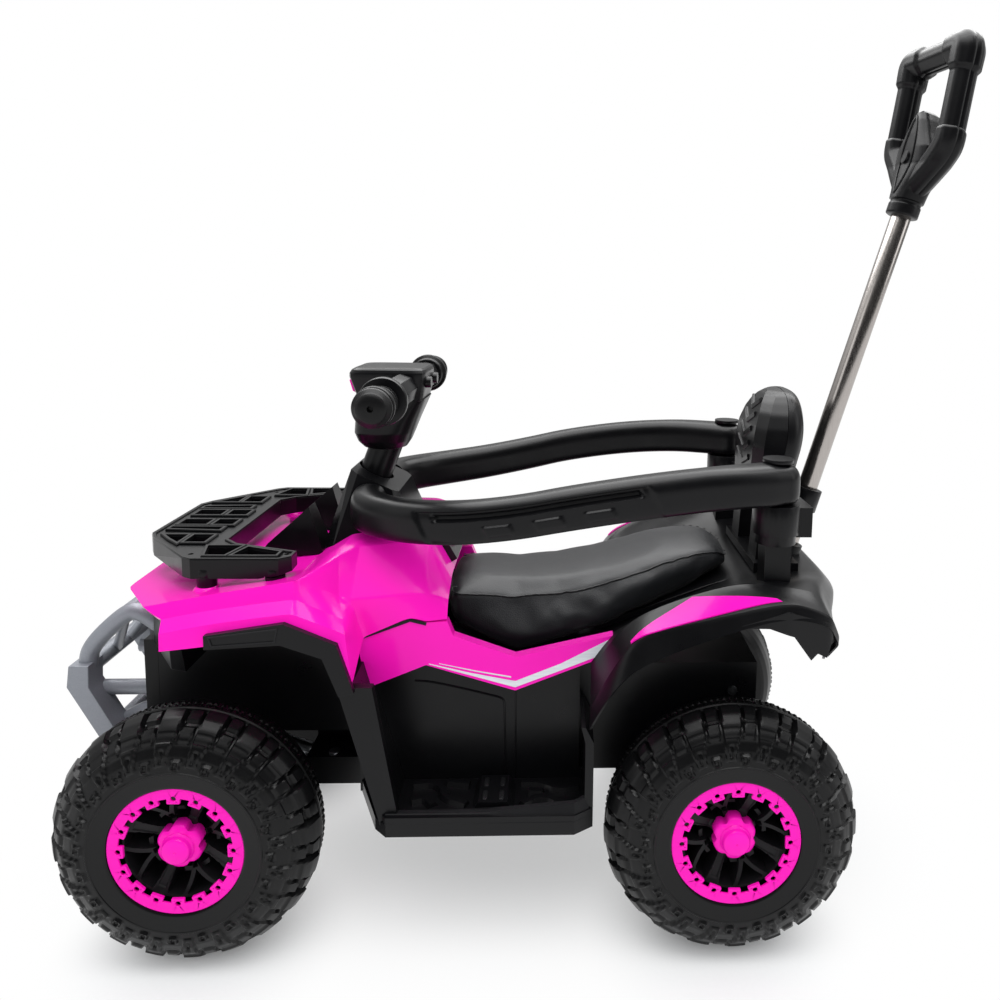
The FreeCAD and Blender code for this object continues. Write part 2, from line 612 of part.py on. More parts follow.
inlay_base = [[at(*p) for p in row[2:4]] for row in rear_rows[1:5]]
inlay = skin(shifted(inlay_base, 1.2), inlay_base)
save_pair("rear_inlay", inlay)

# Seat pan and cushion: each station is x, half width, height of the seam and of the crown
pan = plate(seat_line + [(x, pan_under(x)) for x, z in reversed(seat_line)], -66, 66)
pan = pan.cut(rear_body).cut(hood).cut(lower_body)
pan = max(pan.Solids, key=lambda s: s.Volume)
save("seat_pan", pan)
stations = [(241, 58, 186, 197), (247, 76, 198, 211), (262, 84, 201, 214), (305, 88, 201, 213),
            (350, 90, 205, 218), (393, 90, 212, 226), (430, 88, 219, 232), (466, 84, 227, 240),
            (500, 76, 233, 246), (522, 64, 233, 245), (536, 46, 228, 236)]


def seat_section(x, half, seam, top):
    low = seat_under(x)
    foot = half - 9
    mid = (low + seam) / 2
    corners = [at(x, -foot, low), at(x, foot, low), at(x, half, seam), at(x, -half, seam)]
    edges = [Part.makeLine(corners[0], corners[1]),
             Part.Arc(corners[1], at(x, half + 2, mid), corners[2]).toShape(),
             Part.Arc(corners[2], at(x, 0, top), corners[3]).toShape(),
             Part.Arc(corners[3], at(x, -half - 2, mid), corners[0]).toShape()]
    return Part.Wire(edges)


cushion = Part.makeLoft([seat_section(*s) for s in stations], True, True)
cushion = cushion.cut(hood).cut(rear_body).cut(frame).cut(pan)
cushion = max(cushion.Solids, key=lambda s: s.Volume)
save("seat_cushion", cushion)

# Backrest shells, split at a plane; each row is height, front x, rear x and half width
back_rows = [(318, 556, 604, 60), (352, 557, 612, 66), (372, 560, 616, 60), (392, 566, 613, 58),
             (406, 574, 610, 42), (413, 580, 606, 26)]
split = 0.52


def back_section(z, x0, x1, half, chamfer):
    return [at(x0, -half + chamfer, z), at(x0, half - chamfer, z), at(x1, half, z), at(x1, -half, z)]


def parting(x0, x1):
    return x0 + (x1 - x0) * split


back_front = ruled([back_section(z, x0, parting(x0, x1), half, 14) for z, x0, x1, half in back_rows])
rear_sections = []
for z, x0, x1, half in back_rows:
    x = parting(x0, x1)
    rear_sections.append([at(x, -half, z), at(x, half, z), at(x1, half - 12, z), at(x1, -half + 12, z)])
back_rear = ruled(rear_sections)
for i in range(5):
    z = 326 + 15 * i
    chevron = [(-26, z + 8), (0, z), (26, z + 8), (26, z + 13), (0, z + 5), (-26, z + 13)]
    groove = flat([at(550, y, h) for y, h in chevron]).extrude(V(14 + 1.4 * i, 0, 0))
    back_front = back_front.cut(groove)
back_front = back_front.cut(frame)
back_rear = back_rear.cut(frame)
save("backrest_front", max(back_front.Solids, key=lambda s: s.Volume))
save("backrest_rear", max(back_rear.Solids, key=lambda s: s.Volume))

# Guard arms: rounded-top section carried along a path from the cowl boss to the hinge
guard_path = [(150, guard_front_y, guard_front_z), (156, 76, 293), (174, 101, 293), (208, 123, 294),
              (255, 141, 298), (310, 153, 307), (360, 158, 318), (435, 155, 329), (500, 144, 334),
              (542, 131, 334), (guard_pin_x, guard_pin_y, 334)]
guard_half = 17.0
guard_shape = [(-1.0, -20), (1.0, -20), (1.06, 2), (0.75, 14), (0.3, 20), (-0.3, 20), (-0.75, 14), (-1.06, 2)]


def guard_section(i):
    here = at(*guard_path[i])
    ahead = at(*guard_path[min(i + 1, len(guard_path) - 1)]) - at(*guard_path[max(i - 1, 0)])
    ahead = V(0, 1, 0) if i == 0 else V(ahead.x, ahead.y, 0).normalize()
    across = V(ahead.y, -ahead.x, 0)
    return [here + across * (a * guard_half) + V(0, 0, h) for a, h in guard_shape]


guard = ruled([guard_section(i) for i in range(len(guard_path))])
guard = guard.fuse(on_hinge(guard_low, guard_high, 22)).removeSplitter()
guard = guard.cut(on_hinge(guard_low - 14, guard_high + 16, guard_pin_radius + run_clear))
cowl_reach = cowl.copy()
cowl_reach.translate(V(0, move_gap, 0))
guard = guard.cut(cowl).cut(cowl_reach)
save_pair("guard", max(guard.Solids, key=lambda s: s.Volume))

# Push handle: tube, loop in two half shells, release button
collar_z = 618.0
tube = rod(on_tube(socket_low + 4), on_tube(collar_z + 36), tube_radius)
tube = tube.cut(rod(on_tube(socket_low), on_tube(collar_z + 60), tube_radius - 1.5))
save("push_tube", tube)
side_dir = V(0, 1, 0)
face_dir = side_dir.cross(tube_dir)
base = on_tube(collar_z)


def loop_at(along, side):
    return base + tube_dir * along + side_dir * side


corner = 22.0
loop_points = [loop_at(20, 0), loop_at(66, loop_half_width), loop_at(loop_length - corner, loop_half_width),
               loop_at(loop_length, loop_half_width - corner), loop_at(loop_length, 0)]
half_loop = bent(loop_points, loop_radius, 12)
yoke = ruled([[loop_at(a, -h) - face_dir * t, loop_at(a, h) - face_dir * t, loop_at(a, h) + face_dir * t,
               loop_at(a, -h) + face_dir * t] for a, h, t in ((10, 16, 15), (40, 30, 15), (74, 12, 11))])
sleeve = rod(loop_at(-12, 0), loop_at(30, 0), tube_radius + 6)
loop = fused(both(half_loop) + [yoke, sleeve]).cut(rod(loop_at(-20, 0), loop_at(40, 0), tube_radius))
button_at = loop_at(48, 0)
button_line = [button_at - face_dir * 6, button_at - face_dir * 19]
loop = loop.cut(rod(button_line[0] + face_dir * 4, button_line[1] - face_dir * 20, 7 + move_gap))
reach = Part.makeBox(600, 600, 600, V(-300, -300, 0))
reach.Placement = FreeCAD.Placement(base, FreeCAD.Rotation(V(0, 0, 1), face_dir))
front_half = loop.cut(reach)
rear_half = loop.common(reach)
save("handle_front", max(front_half.Solids, key=lambda s: s.Volume))
save("handle_rear", max(rear_half.Solids, key=lambda s: s.Volume))
save("handle_button", rod(button_line[0], button_line[1], 7))

# Dash panel on the slope behind the hood top, with button and rocker
slope_low, slope_high = at(238, 0, 222), at(216, 0, 261)
slope_up = (slope_high - slope_low).normalize()
slope_out = V(slope_up.z, 0, -slope_up.x)
dash_mid = (slope_low + slope_high) * 0.5


def dash_at(up, side, out):
    return dash_mid + slope_up * up + side_dir * side + slope_out * out


def dash_block(up, side, half_up, half_side, out0, out1):
    low = [dash_at(up - half_up, side - half_side, out0), dash_at(up + half_up, side - half_side, out0),
           dash_at(up + half_up, side + half_side, out0), dash_at(up - half_up, side + half_side, out0)]
    return flat(low).extrude(slope_out * (out1 - out0))


power_r, power_side, rocker_side = 7.0, -24.0, 22.0
dash = dash_block(0, 0, 16, 48, 0, 7)
dash = dash.cut(rod(dash_at(0, power_side, 2.5), dash_at(0, power_side, 20), power_r + move_gap))
dash = dash.cut(dash_block(0, rocker_side, 10.4, 7.4, 1, 20))
save("dash_panel", dash)
save("power_button", rod(dash_at(0, power_side, 5.2), dash_at(0, power_side, 10), power_r))
rocker = rod(dash_at(0, rocker_side - 7, 7), dash_at(0, rocker_side + 7, 7), 4)
rocker_line = [(-9, 7), (-9, 10), (0, 8.5), (9, 10), (9, 7)]
rocker_top = flat([dash_at(u, rocker_side - 7, o) for u, o in rocker_line]).extrude(side_dir * 14)
save("direction_rocker", rocker.fuse(rocker_top).removeSplitter())

# Screws: heads on the rear box sides and the lug plate
screws = []
for x, z in ((530, 110), (540, 60)):
    screws += both(rod(at(x, rear_box_y, z), at(x, rear_box_y + 2, z), 5))
screws += both(rod(at(112, 66, lug_top), at(112, 66, lug_top + 3), 6))
save("body_screws", Part.makeCompound(screws))
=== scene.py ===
import json
import math

import bmesh
import bpy
import numpy as np
from mathutils import Matrix, Vector


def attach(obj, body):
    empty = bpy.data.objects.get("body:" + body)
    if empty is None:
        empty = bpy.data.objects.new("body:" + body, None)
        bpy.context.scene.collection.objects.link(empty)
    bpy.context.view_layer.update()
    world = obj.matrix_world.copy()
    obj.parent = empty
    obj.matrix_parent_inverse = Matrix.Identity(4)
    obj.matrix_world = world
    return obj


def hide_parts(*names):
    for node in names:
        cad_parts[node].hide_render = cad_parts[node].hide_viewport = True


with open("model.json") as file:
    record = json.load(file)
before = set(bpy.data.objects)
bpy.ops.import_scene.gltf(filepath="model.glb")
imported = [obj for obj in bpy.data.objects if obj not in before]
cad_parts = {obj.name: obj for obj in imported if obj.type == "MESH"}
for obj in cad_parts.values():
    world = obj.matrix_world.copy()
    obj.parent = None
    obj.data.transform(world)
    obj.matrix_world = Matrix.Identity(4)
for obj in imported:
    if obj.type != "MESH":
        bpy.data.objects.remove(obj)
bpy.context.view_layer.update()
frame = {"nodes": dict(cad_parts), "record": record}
nodes = frame["nodes"]
scene = bpy.context.scene
print("frame loaded:", len(nodes), "nodes")

# Bike places are written in mm as (x back from the front axle, y to the right, z up from the axle line).
bike = {"frontAxle": -315.0, "axleHeight": 125.0, "wheelBase": 520.0}
bikeOrigin = np.array([bike["frontAxle"], 0, bike["axleHeight"]])


def toFrame(points):
    # bike millimetres to metres in the shared frame: shift to the origin under the middle, divide by 1000
    return (np.asarray(points, float) + bikeOrigin) / 1000


def toBike(points):
    # metres in the shared frame back to millimetres on the bike
    return points * 1000 - bikeOrigin


def toLinear(code):
    # sRGB hex to linear light: c / 12.92 below 0.04045, else ((c + 0.055) / 1.055) ** 2.4
    srgb = [int(code[i:i + 2], 16) / 255 for i in (1, 3, 5)]
    return [c / 12.92 if c <= 0.04045 else ((c + 0.055) / 1.055) ** 2.4 for c in srgb] + [1.0]


def addNode(tree, kind, values=None, links=None, **settings):
    # one node: its properties, its socket values and the sockets that feed it
    node = tree.nodes.new(kind)
    for key, value in settings.items():
        setattr(node, key, value)
    for key, value in (values or {}).items():
        node.inputs[key].default_value = value
    for key, source in (links or {}).items():
        tree.links.new(source, node.inputs[key])
    return node


def emptyTree(owner):
    # the node tree of a material or world, with nothing in it
    owner.use_nodes = True
    owner.node_tree.nodes.clear()
    return owner.node_tree


def newMaterial(name, **shaderValues):
    # an empty material with a Principled shader whose constant sockets are set directly
    material = bpy.data.materials.new(name)
    tree = emptyTree(material)
    shader = addNode(tree, "ShaderNodeBsdfPrincipled", values=shaderValues)
    addNode(tree, "ShaderNodeOutputMaterial", links={"Surface": shader.outputs["BSDF"]})
    coords = addNode(tree, "ShaderNodeTexCoord").outputs["Object"]
    return material, tree, shader, coords


def noise(tree, sizeMm, detail, coords, **values):
    # noise with features of about sizeMm
    values = {"Scale": 1000 / sizeMm, "Detail": detail, **values}
    return addNode(tree, "ShaderNodeTexNoise", values, {"Vector": coords}).outputs["Fac"]


def drawnLines(tree, pitchMm, coords, turn=0.0):
    # noise stretched along one direction: pitchMm is the feature size in x, y and z after a turn about y
    stretch = {"Rotation": (0.0, turn, 0.0), "Scale": [1000 / mm for mm in pitchMm]}
    lines = addNode(tree, "ShaderNodeMapping", stretch, {"Vector": coords})
    return noise(tree, 1000, 2.0, lines.outputs["Vector"])


def cells(tree, sizeMm, coords, output, **settings):
    # Voronoi cells of about sizeMm
    node = addNode(tree, "ShaderNodeTexVoronoi", {"Scale": 1000 / sizeMm}, {"Vector": coords}, **settings)
    return node.outputs[output]


def blend(tree, colours, share):
    # the colour between two sRGB hex colours at share
    values = {6: toLinear(colours[0]), 7: toLinear(colours[1])}
    return addNode(tree, "ShaderNodeMix", values, {0: share}, data_type="RGBA").outputs[2]


def ranged(tree, source, low, high, start=0.0, stop=1.0, **settings):
    # source from start to stop becomes low to high
    values = {"From Min": start, "From Max": stop, "To Min": low, "To Max": high}
    return addNode(tree, "ShaderNodeMapRange", values, {"Value": source}, **settings).outputs["Result"]


def bumped(tree, height, strength, depthMm, **links):
    # a bump of depthMm from the height pattern
    return addNode(tree, "ShaderNodeBump", {"Strength": strength, "Distance": depthMm / 1000},
                   {"Height": height, **links}).outputs["Normal"]


def feed(tree, shader, colour, rough, normal=None):
    # colour, roughness and any bump go to the shader
    for key, source in (("Base Color", colour), ("Roughness", rough), ("Normal", normal)):
        if source:
            tree.links.new(source, shader.inputs[key])


# Moulded ABS, coloured through and polished in the tool: deep hot pink, a clear gloss with a faint
# orange-peel of about 9 mm and slow flow shading of about 120 mm.
def makePinkAbs():
    material, tree, shader, coords = newMaterial("pinkAbsMoulded", **{
        "IOR": 1.53, "Specular IOR Level": 0.11, "Coat Weight": 0.08, "Coat Roughness": 0.05})
    flow = noise(tree, 120, 2.0, coords)
    peel = noise(tree, 9, 1.0, coords)
    feed(tree, shader, blend(tree, ("#f80fb3", "#ff1dbf"), flow), ranged(tree, flow, 0.14, 0.22),
         bumped(tree, peel, 0.04, 0.6))
    return material


# Satin polypropylene from a spark-eroded tool: near black, with a pebbled grain. The real grain is about
# 0.5 mm and is drawn at grainMm so that it shows in the render; scuffs of about 45 mm vary the sheen.
def makeBlackPlastic(name, colours, roughLow, roughHigh, grainMm, depthMm):
    material, tree, shader, coords = newMaterial(name, **{"IOR": 1.49, "Specular IOR Level": 0.24})
    scuff = noise(tree, 45, 5.0, coords, Roughness=0.65)
    grain = cells(tree, grainMm, coords, "Distance")
    feed(tree, shader, blend(tree, colours, scuff), ranged(tree, scuff, roughLow, roughHigh, 0.3, 0.7),
         bumped(tree, grain, 0.25, depthMm))
    return material


# Satin silver-grey lacquer on moulded plastic: metallic flakes of about 0.8 mm break up the sheen, which
# changes in clouds of about 60 mm.
def makeGreyLacquer():
    material, tree, shader, coords = newMaterial("greyLacquer", **{"Metallic": 0.25, "IOR": 1.5})
    flake = cells(tree, 0.8, coords, "Color")
    cloud = noise(tree, 60, 3.0, coords)
    feed(tree, shader, blend(tree, ("#83868d", "#8c8f96"), flake), ranged(tree, cloud, 0.34, 0.46))
    return material


# Bright chrome on drawn steel tube: mirror bright, with draw lines that run along the tube. They are under
# 0.1 mm on the real tube and drawn 1.2 mm apart so that they show.
def makeChrome():
    material, tree, shader, coords = newMaterial("chromeDrawnTube", **{"Metallic": 1.0})
    drawn = drawnLines(tree, (1.2, 1.2, 300), coords, math.radians(-16.4))
    feed(tree, shader, blend(tree, ("#a9a39f", "#bdb8b4"), drawn), ranged(tree, drawn, 0.16, 0.28))
    return material


# Zinc-plated steel: dull grey metal with spangle of about 3 mm.
def makeZincSteel():
    material, tree, shader, coords = newMaterial("zincPlatedSteel", **{"Metallic": 1.0})
    spangle = cells(tree, 3, coords, "Color")
    feed(tree, shader, blend(tree, ("#6f7174", "#94969a"), spangle), ranged(tree, spangle, 0.3, 0.5))
    return material


# Embossed leatherette (PVC on knit): charcoal black, satin, with hide pebbles of about 1.1 mm drawn at 1.8 mm
# and soft drag wrinkles of about 25 mm.
def makeLeatherette():
    material, tree, shader, coords = newMaterial("leatherettePvc", **{
        "IOR": 1.5, "Sheen Weight": 0.05, "Specular IOR Level": 0.36})
    warp = noise(tree, 25, 3.0, coords)
    pebble = cells(tree, 1.8, coords, "Distance", feature="DISTANCE_TO_EDGE")
    soft = bumped(tree, warp, 0.15, 1.2)
    feed(tree, shader, blend(tree, ("#0c0d10", "#14161a"), warp), ranged(tree, warp, 0.36, 0.5),
         bumped(tree, ranged(tree, pebble, 0.0, 1.0, 0.0, 0.25), 0.22, 0.3, Normal=soft))
    return material


# Printed vinyl foil: silver-white, with a brushed print of about 2 mm along the stripe.
def makeFoil():
    material, tree, shader, coords = newMaterial("silverVinylFoil", **{"IOR": 1.45, "Metallic": 0.15})
    brushed = drawnLines(tree, (40, 2, 2), coords)
    feed(tree, shader, blend(tree, ("#cfd2da", "#eceef3"), brushed), ranged(tree, brushed, 0.28, 0.4))
    return material


pinkAbs = makePinkAbs()
blackPlastic = makeBlackPlastic("blackPolypropyleneGrained", ("#08080a", "#0d0d0f"), 0.27, 0.36, 1.3, 0.1)
# a lighter copy of the black polypropylene: its lighter colour is painted sheen, so the parts that take it
# read as lit
paintedSheenPlastic = makeBlackPlastic("blackPolypropyleneRibbedPaintedSheen", ("#131315", "#19191b"), 0.4, 0.5, 1.6, 0.12)
tyrePlastic = makeBlackPlastic("tyrePolyethyleneBlown", ("#0a0a0b", "#0f0f10"), 0.27, 0.38, 1.8, 0.1)
gripRubber = makeBlackPlastic("gripSoftVinyl", ("#09090a", "#0e0e0f"), 0.36, 0.46, 1.0, 0.1)
greyLacquer = makeGreyLacquer()
chrome = makeChrome()
zincSteel = makeZincSteel()
leatherette = makeLeatherette()
silverFoil = makeFoil()
print("materials made")


def gridFaces(rows, cols, closeRows=False, closeCols=False):
    # quads between neighbours of a rows x cols grid of points, wrapped round where a direction closes
    i = np.arange(rows if closeRows else rows - 1)[:, None]
    j = np.arange(cols if closeCols else cols - 1)[None, :]
    a = i * cols + j
    b = i * cols + (j + 1) % cols
    c = ((i + 1) % rows) * cols + (j + 1) % cols
    d = ((i + 1) % rows) * cols + j
    return np.stack([a, b, c, d], -1).reshape(-1, 4)


def settle(name, mesh, body, material, replaced=()):
    # the mesh takes the material and becomes a piece that rides on its body and stands for the replaced nodes
    mesh.materials.append(material)
    piece = bpy.data.objects.new(name, mesh)
    scene.collection.objects.link(piece)
    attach(piece, body)
    if replaced:
        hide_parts(*replaced)
    return piece


def mergedMesh(name, points, faces, gap=1e-6):
    # one mesh from points in metres and faces, with doubles closer than gap merged and faces turned outwards
    mesh = bpy.data.meshes.new(name)
    mesh.from_pydata(points.reshape(-1, 3).tolist(), [], [list(map(int, f)) for f in faces])
    work = bmesh.new()
    work.from_mesh(mesh)
    bmesh.ops.remove_doubles(work, verts=work.verts, dist=gap)
    bmesh.ops.recalc_face_normals(work, faces=work.faces)
    work.to_mesh(mesh)
    work.free()
    return mesh


def makePiece(name, shape, body, material, sharpAngle, replaced=()):
    # shape is points in bike millimetres and faces; edges over sharpAngle degrees stay crisp
    mesh = mergedMesh(name, toFrame(shape[0]), shape[1])
    mesh.shade_smooth()
    mesh.set_sharp_from_angle(angle=math.radians(sharpAngle))
    return settle(name, mesh, body, material, replaced)


def makePairs(*pieces):
    # each piece is a row of what makePiece takes: every mirror image on the left first, then every shape on
    # the right; {} in a body's or a replaced node's name takes the side's name
    for sideName in ("left", "right"):
        for stem, (points, faces), body, material, slotName, sharpAngle, *replaced in pieces:
            placed = mirrorY(points) if sideName == "left" else points
            makePiece(stem + sideName.title(), (placed, faces), body.format(sideName), material,
                      sharpAngle, [node.format(sideName) for node in replaced])


def joinGrids(parts):
    # several (points, faces) sets become one, with the faces counted on
    points, faces, start = [], [], 0
    for partPoints, partFaces in parts:
        flat = np.asarray(partPoints, float).reshape(-1, 3)
        points.append(flat)
        faces.extend([[int(v) + start for v in f] for f in partFaces])
        start += len(flat)
    return np.concatenate(points), faces


def roundPath(points, passes=3, closed=False):
    # corner cutting: each edge gives the points at a quarter and three quarters of it, passes times over
    path = np.asarray(points, float)
    for _ in range(passes):
        ahead = np.roll(path, -1, 0) if closed else path[1:]
        here = path if closed else path[:-1]
        cut = np.stack([0.75 * here + 0.25 * ahead, 0.25 * here + 0.75 * ahead], 1).reshape(-1, path.shape[1])
        path = cut if closed else np.concatenate([path[:1], cut, path[-1:]])
    return path


def evenPath(path, count):
    # the same line with count points at even steps of its length
    steps = np.concatenate([[0], np.cumsum(np.linalg.norm(np.diff(path, axis=0), axis=1))])
    at = np.linspace(0, steps[-1], count)
    return np.stack([np.interp(at, steps, path[:, k]) for k in range(path.shape[1])], 1), at


def sweep(path, section, up, tangents=None):
    # section points (sideways, upwards) stand square to the line on each path point, and may change along it
    t = np.gradient(path, axis=0) if tangents is None else tangents
    t = t / np.linalg.norm(t, axis=1, keepdims=True)
    side = np.cross(t, np.asarray(up, float))
    side /= np.linalg.norm(side, axis=1, keepdims=True)
    rise = np.cross(side, t)
    section = np.asarray(section, float)
    if section.ndim == 2:
        section = np.repeat(section[None], len(path), 0)
    return path[:, None] + section[..., :1] * side[:, None] + section[..., 1:2] * rise[:, None]


def solidSweep(grid):
    # a swept tube closed round and shut by a flat face at both ends
    rows, cols = grid.shape[:2]
    faces = gridFaces(rows, cols, closeCols=True).tolist()
    return grid, faces + [list(range(cols)), list(range((rows - 1) * cols, rows * cols))]


def tube(grid):
    # a grid closed round, open at both ends
    return grid, gridFaces(*grid.shape[:2], closeCols=True)


def hoop(grid):
    # a grid closed round and end to end
    return grid, gridFaces(*grid.shape[:2], closeRows=True, closeCols=True)


def ovalRing(a, power):
    # superellipse of half size 1 at angle a: cos, sin over (|cos| ** power + |sin| ** power) ** (1 / power)
    c, s = np.cos(a), np.sin(a)
    k = (np.abs(c) ** power + np.abs(s) ** power) ** (-1 / power)
    return c * k, s * k


def circle(radius, count):
    # count points (cos, sin) * radius
    a = np.linspace(0, 2 * np.pi, count, endpoint=False)
    return np.stack([radius * np.cos(a), radius * np.sin(a)], 1)


def turned(profile, centre, axis, count):
    # (radius, height) points spun about an axis through centre: p + h * axis + r * (cos u + sin v)
    axis = np.asarray(axis, float) / np.linalg.norm(axis)
    u = np.cross(axis, [0.31, 0.87, 0.39])
    u /= np.linalg.norm(u)
    v = np.cross(axis, u)
    a = np.linspace(0, 2 * np.pi, count, endpoint=False)
    ring = np.cos(a)[:, None] * u + np.sin(a)[:, None] * v
    profile = np.asarray(profile, float)
    return np.asarray(centre, float) + profile[:, None, 1:] * axis + profile[:, None, :1] * ring[None]


def softBox(x, low, high, soft):
    # 1 between low and high, 0 outside, with straight flanks soft wide
    return np.clip((x - low) / soft + 0.5, 0, 1) * np.clip((high - x) / soft + 0.5, 0, 1)


def mirrorY(points):
    # the same points on the other side: y becomes -y
    return np.asarray(points, float) * np.array([1.0, -1.0, 1.0])


# CAD nodes: merged and given a small edge radius, with the finish of their slot
edgeRadius = {"lower_body": 1.6, "rack": 1.6, "cowl": 1.8, "backrest_frame": 1.2, "grille": 1.4, "pedal": 0.8,
              "side_panel_left": 0.8, "side_panel_right": 0.8, "trim_left": 0.8, "trim_right": 0.8}
slotFinish = {"pink_plastic": pinkAbs, "black_plastic": blackPlastic, "tyre_moulding": tyrePlastic,
              "grey_plastic": greyLacquer, "chrome_tube": chrome, "seat_leather": leatherette,
              "steel": zincSteel}
for part in frame["record"]["subparts"]:
    node = nodes[part["node"]]
    node.data.materials.clear()
    node.data.materials.append(slotFinish[part["material_slot"]])
    weld = node.modifiers.new("weld", "WELD")
    weld.merge_threshold = 2e-5
    bevel = node.modifiers.new("bevel", "BEVEL")
    bevel.width = edgeRadius.get(part["node"], 0.7) / 1000
    bevel.segments = 2
    bevel.limit_method = "ANGLE"
    bevel.angle_limit = math.radians(28)
    bevel.harden_normals = True
print("CAD nodes finished")

# Hood and front fenders: one shell through creased rows, the rack posts' pink feet on it. Rows run from the
# nose lip to the seat; the columns are middle, top, fold (the tank's top edge further back), valley (the
# tank's lower fold), step top, step foot and lower edge.
hood = {"rows": [
    [(-68, 0, 204), (-66, 98, 204), (-32, 148, 211), (-20, 156, 208),
     (-8, 160, 206), (-4, 168, 200), (-3, 172, 189)],
    [(-78, 0, 219), (-76, 100, 219), (-32, 161, 223), (-22, 164, 217),
     (-14, 166, 213), (-11, 178, 204), (-10, 181, 189)],
    [(30, 0, 233), (30, 105, 230), (33, 162, 236), (33, 164, 229),
     (34, 166, 223), (34, 178, 214), (34, 182, 194)],
    [(98, 0, 241), (98, 104, 238), (106, 162, 248), (106, 164, 240),
     (106, 166, 232), (107, 178, 223), (104, 182, 206)],
    [(116, 0, 251), (114, 100, 250), (119, 140, 251), (123, 146, 236),
     (127, 158, 219), (132, 174, 211), (142, 180, 190)],
    [(134, 0, 260), (133, 94, 261), (134, 116, 257), (137, 130, 221),
     (146, 150, 206), (152, 168, 199), (160, 177, 154)],
    [(152, 0, 263), (150, 84, 264), (150, 98, 261), (147, 128, 217),
     (151, 128, 206), (153, 127, 196), (159, 126, 178)],
    [(178, 0, 265), (178, 78, 266), (178, 91, 262), (178, 125, 219),
     (179, 126, 210), (180, 126, 200), (182, 126, 188)],
    [(202, 0, 266), (202, 74, 267), (202, 86, 263), (204, 122, 221),
     (204, 124, 213), (204, 125, 206), (204, 126, 198)],
    [(216, 0, 261), (216, 72, 262), (217, 84, 258), (220, 119, 219),
     (220, 122, 210), (220, 124, 202), (220, 126, 194)],
    [(238, 0, 222), (238, 68, 222), (239, 80, 221), (240, 113, 212),
     (240, 118, 207), (240, 121, 201), (240, 123, 195)]],
    "alongCrease": [[0, 0.9, 1, 0.3, 1, 1, 1]] * 2 + [[0, 0.6, 1, 0.3, 1, 1, 1]]
    + [[0, 0.5, 0.9, 0.75, 1, 1, 1]] * 2 + [[0, 0.4, 0.7, 0.9, 0.4, 0.4, 1]]
    + [[0, 0, 0.6, 0.9, 0, 0, 1]] * 5,
    "acrossCrease": [1, 1, 0, 0.8, 0, 0.65, 0.65, 0, 0.3, 0.5, 1],
    "wall": 2.4, "posts": ((14, 132), (78, 132)),
    "foot": [(0.01, 224), (15, 224), (12.6, 229.4), (10.4, 232.4), (9.6, 233), (0.01, 233)],
    "post": [(0.01, 231), (8.4, 231), (9, 231.8), (9.4, 243), (0.01, 243)]}


def creasedShell(name, plan, material, replaced):
    # a quad grid mirrored about the middle column, each edge creased by its row or column, thickened inwards
    # by wall and subdivided, so that folds stay crisp and faces run smooth
    half = np.array(plan["rows"], float)
    full = np.concatenate([mirrorY(half[:, :0:-1]), half], 1)
    count, cols = full.shape[:2]
    along = np.array(plan["alongCrease"], float)
    along = np.concatenate([along[:, :0:-1], along], 1)
    mesh = bpy.data.meshes.new(name)
    mesh.from_pydata(toFrame(full).reshape(-1, 3).tolist(), [], gridFaces(count, cols).tolist())
    ends = np.zeros(len(mesh.edges) * 2, np.int32)
    mesh.edges.foreach_get("vertices", ends)
    first, last = ends.reshape(-1, 2).T
    sameRow = first // cols == last // cols
    row = np.minimum(first, last) // cols
    crease = np.where(sameRow, np.array(plan["acrossCrease"], float)[row], along[row, first % cols])
    mesh.attributes.new("crease_edge", "FLOAT", "EDGE").data.foreach_set("value", crease.astype(np.float32))
    mesh.attributes.new("sharp_edge", "BOOLEAN", "EDGE").data.foreach_set("value", crease > 0.5)
    if mesh.polygons[len(mesh.polygons) // 2].normal.z < 0:
        mesh.flip_normals()
    mesh.shade_smooth()
    piece = settle(name, mesh, "chassis", material, replaced)
    smooth = piece.modifiers.new("subdivision", "SUBSURF")
    smooth.levels = smooth.render_levels = 3
    skin = piece.modifiers.new("wall", "SOLIDIFY")
    skin.thickness = plan["wall"] / 1000
    skin.offset = -1.0


creasedShell("hoodShell", hood, pinkAbs, ["hood"])
for name, profile, finish, slotName in (("rackFeet", hood["foot"], pinkAbs, "pink_plastic"),
                                        ("rackPosts", hood["post"], blackPlastic, "black_plastic")):
    parts = [tube(turned(profile, (x, side * y, 0), (0, 0, 1), 40)) for x, y in hood["posts"]
             for side in (-1, 1)]
    makePiece(name, joinGrids(parts), "chassis", finish, 40)
print("hood made")


def frameGrid(outline, wide, rise):
    # a raised ring round a closed outline: five lines from the outline to wide outside it, mitred at the
    # corners, as the outline's two coordinates and the height
    p = np.asarray(outline, float)
    ahead = np.roll(p, -1, 0) - p
    wound = np.sign(np.sum(p[:, 0] * np.roll(p[:, 1], -1) - np.roll(p[:, 0], -1) * p[:, 1]))
    ahead /= np.linalg.norm(ahead, axis=1, keepdims=True)
    normal = wound * np.stack([ahead[:, 1], -ahead[:, 0]], 1)
    before = np.roll(normal, 1, 0)
    mitre = wide * (normal + before) / (1 + np.sum(normal * before, 1, keepdims=True))
    lines = ((0.0, -0.6), (0.12, rise), (0.8, rise), (1.0, rise * 0.6), (1.0, -0.6))
    return np.stack([np.column_stack([p + share * mitre, np.full(len(p), height)])
                     for share, height in lines], 1)


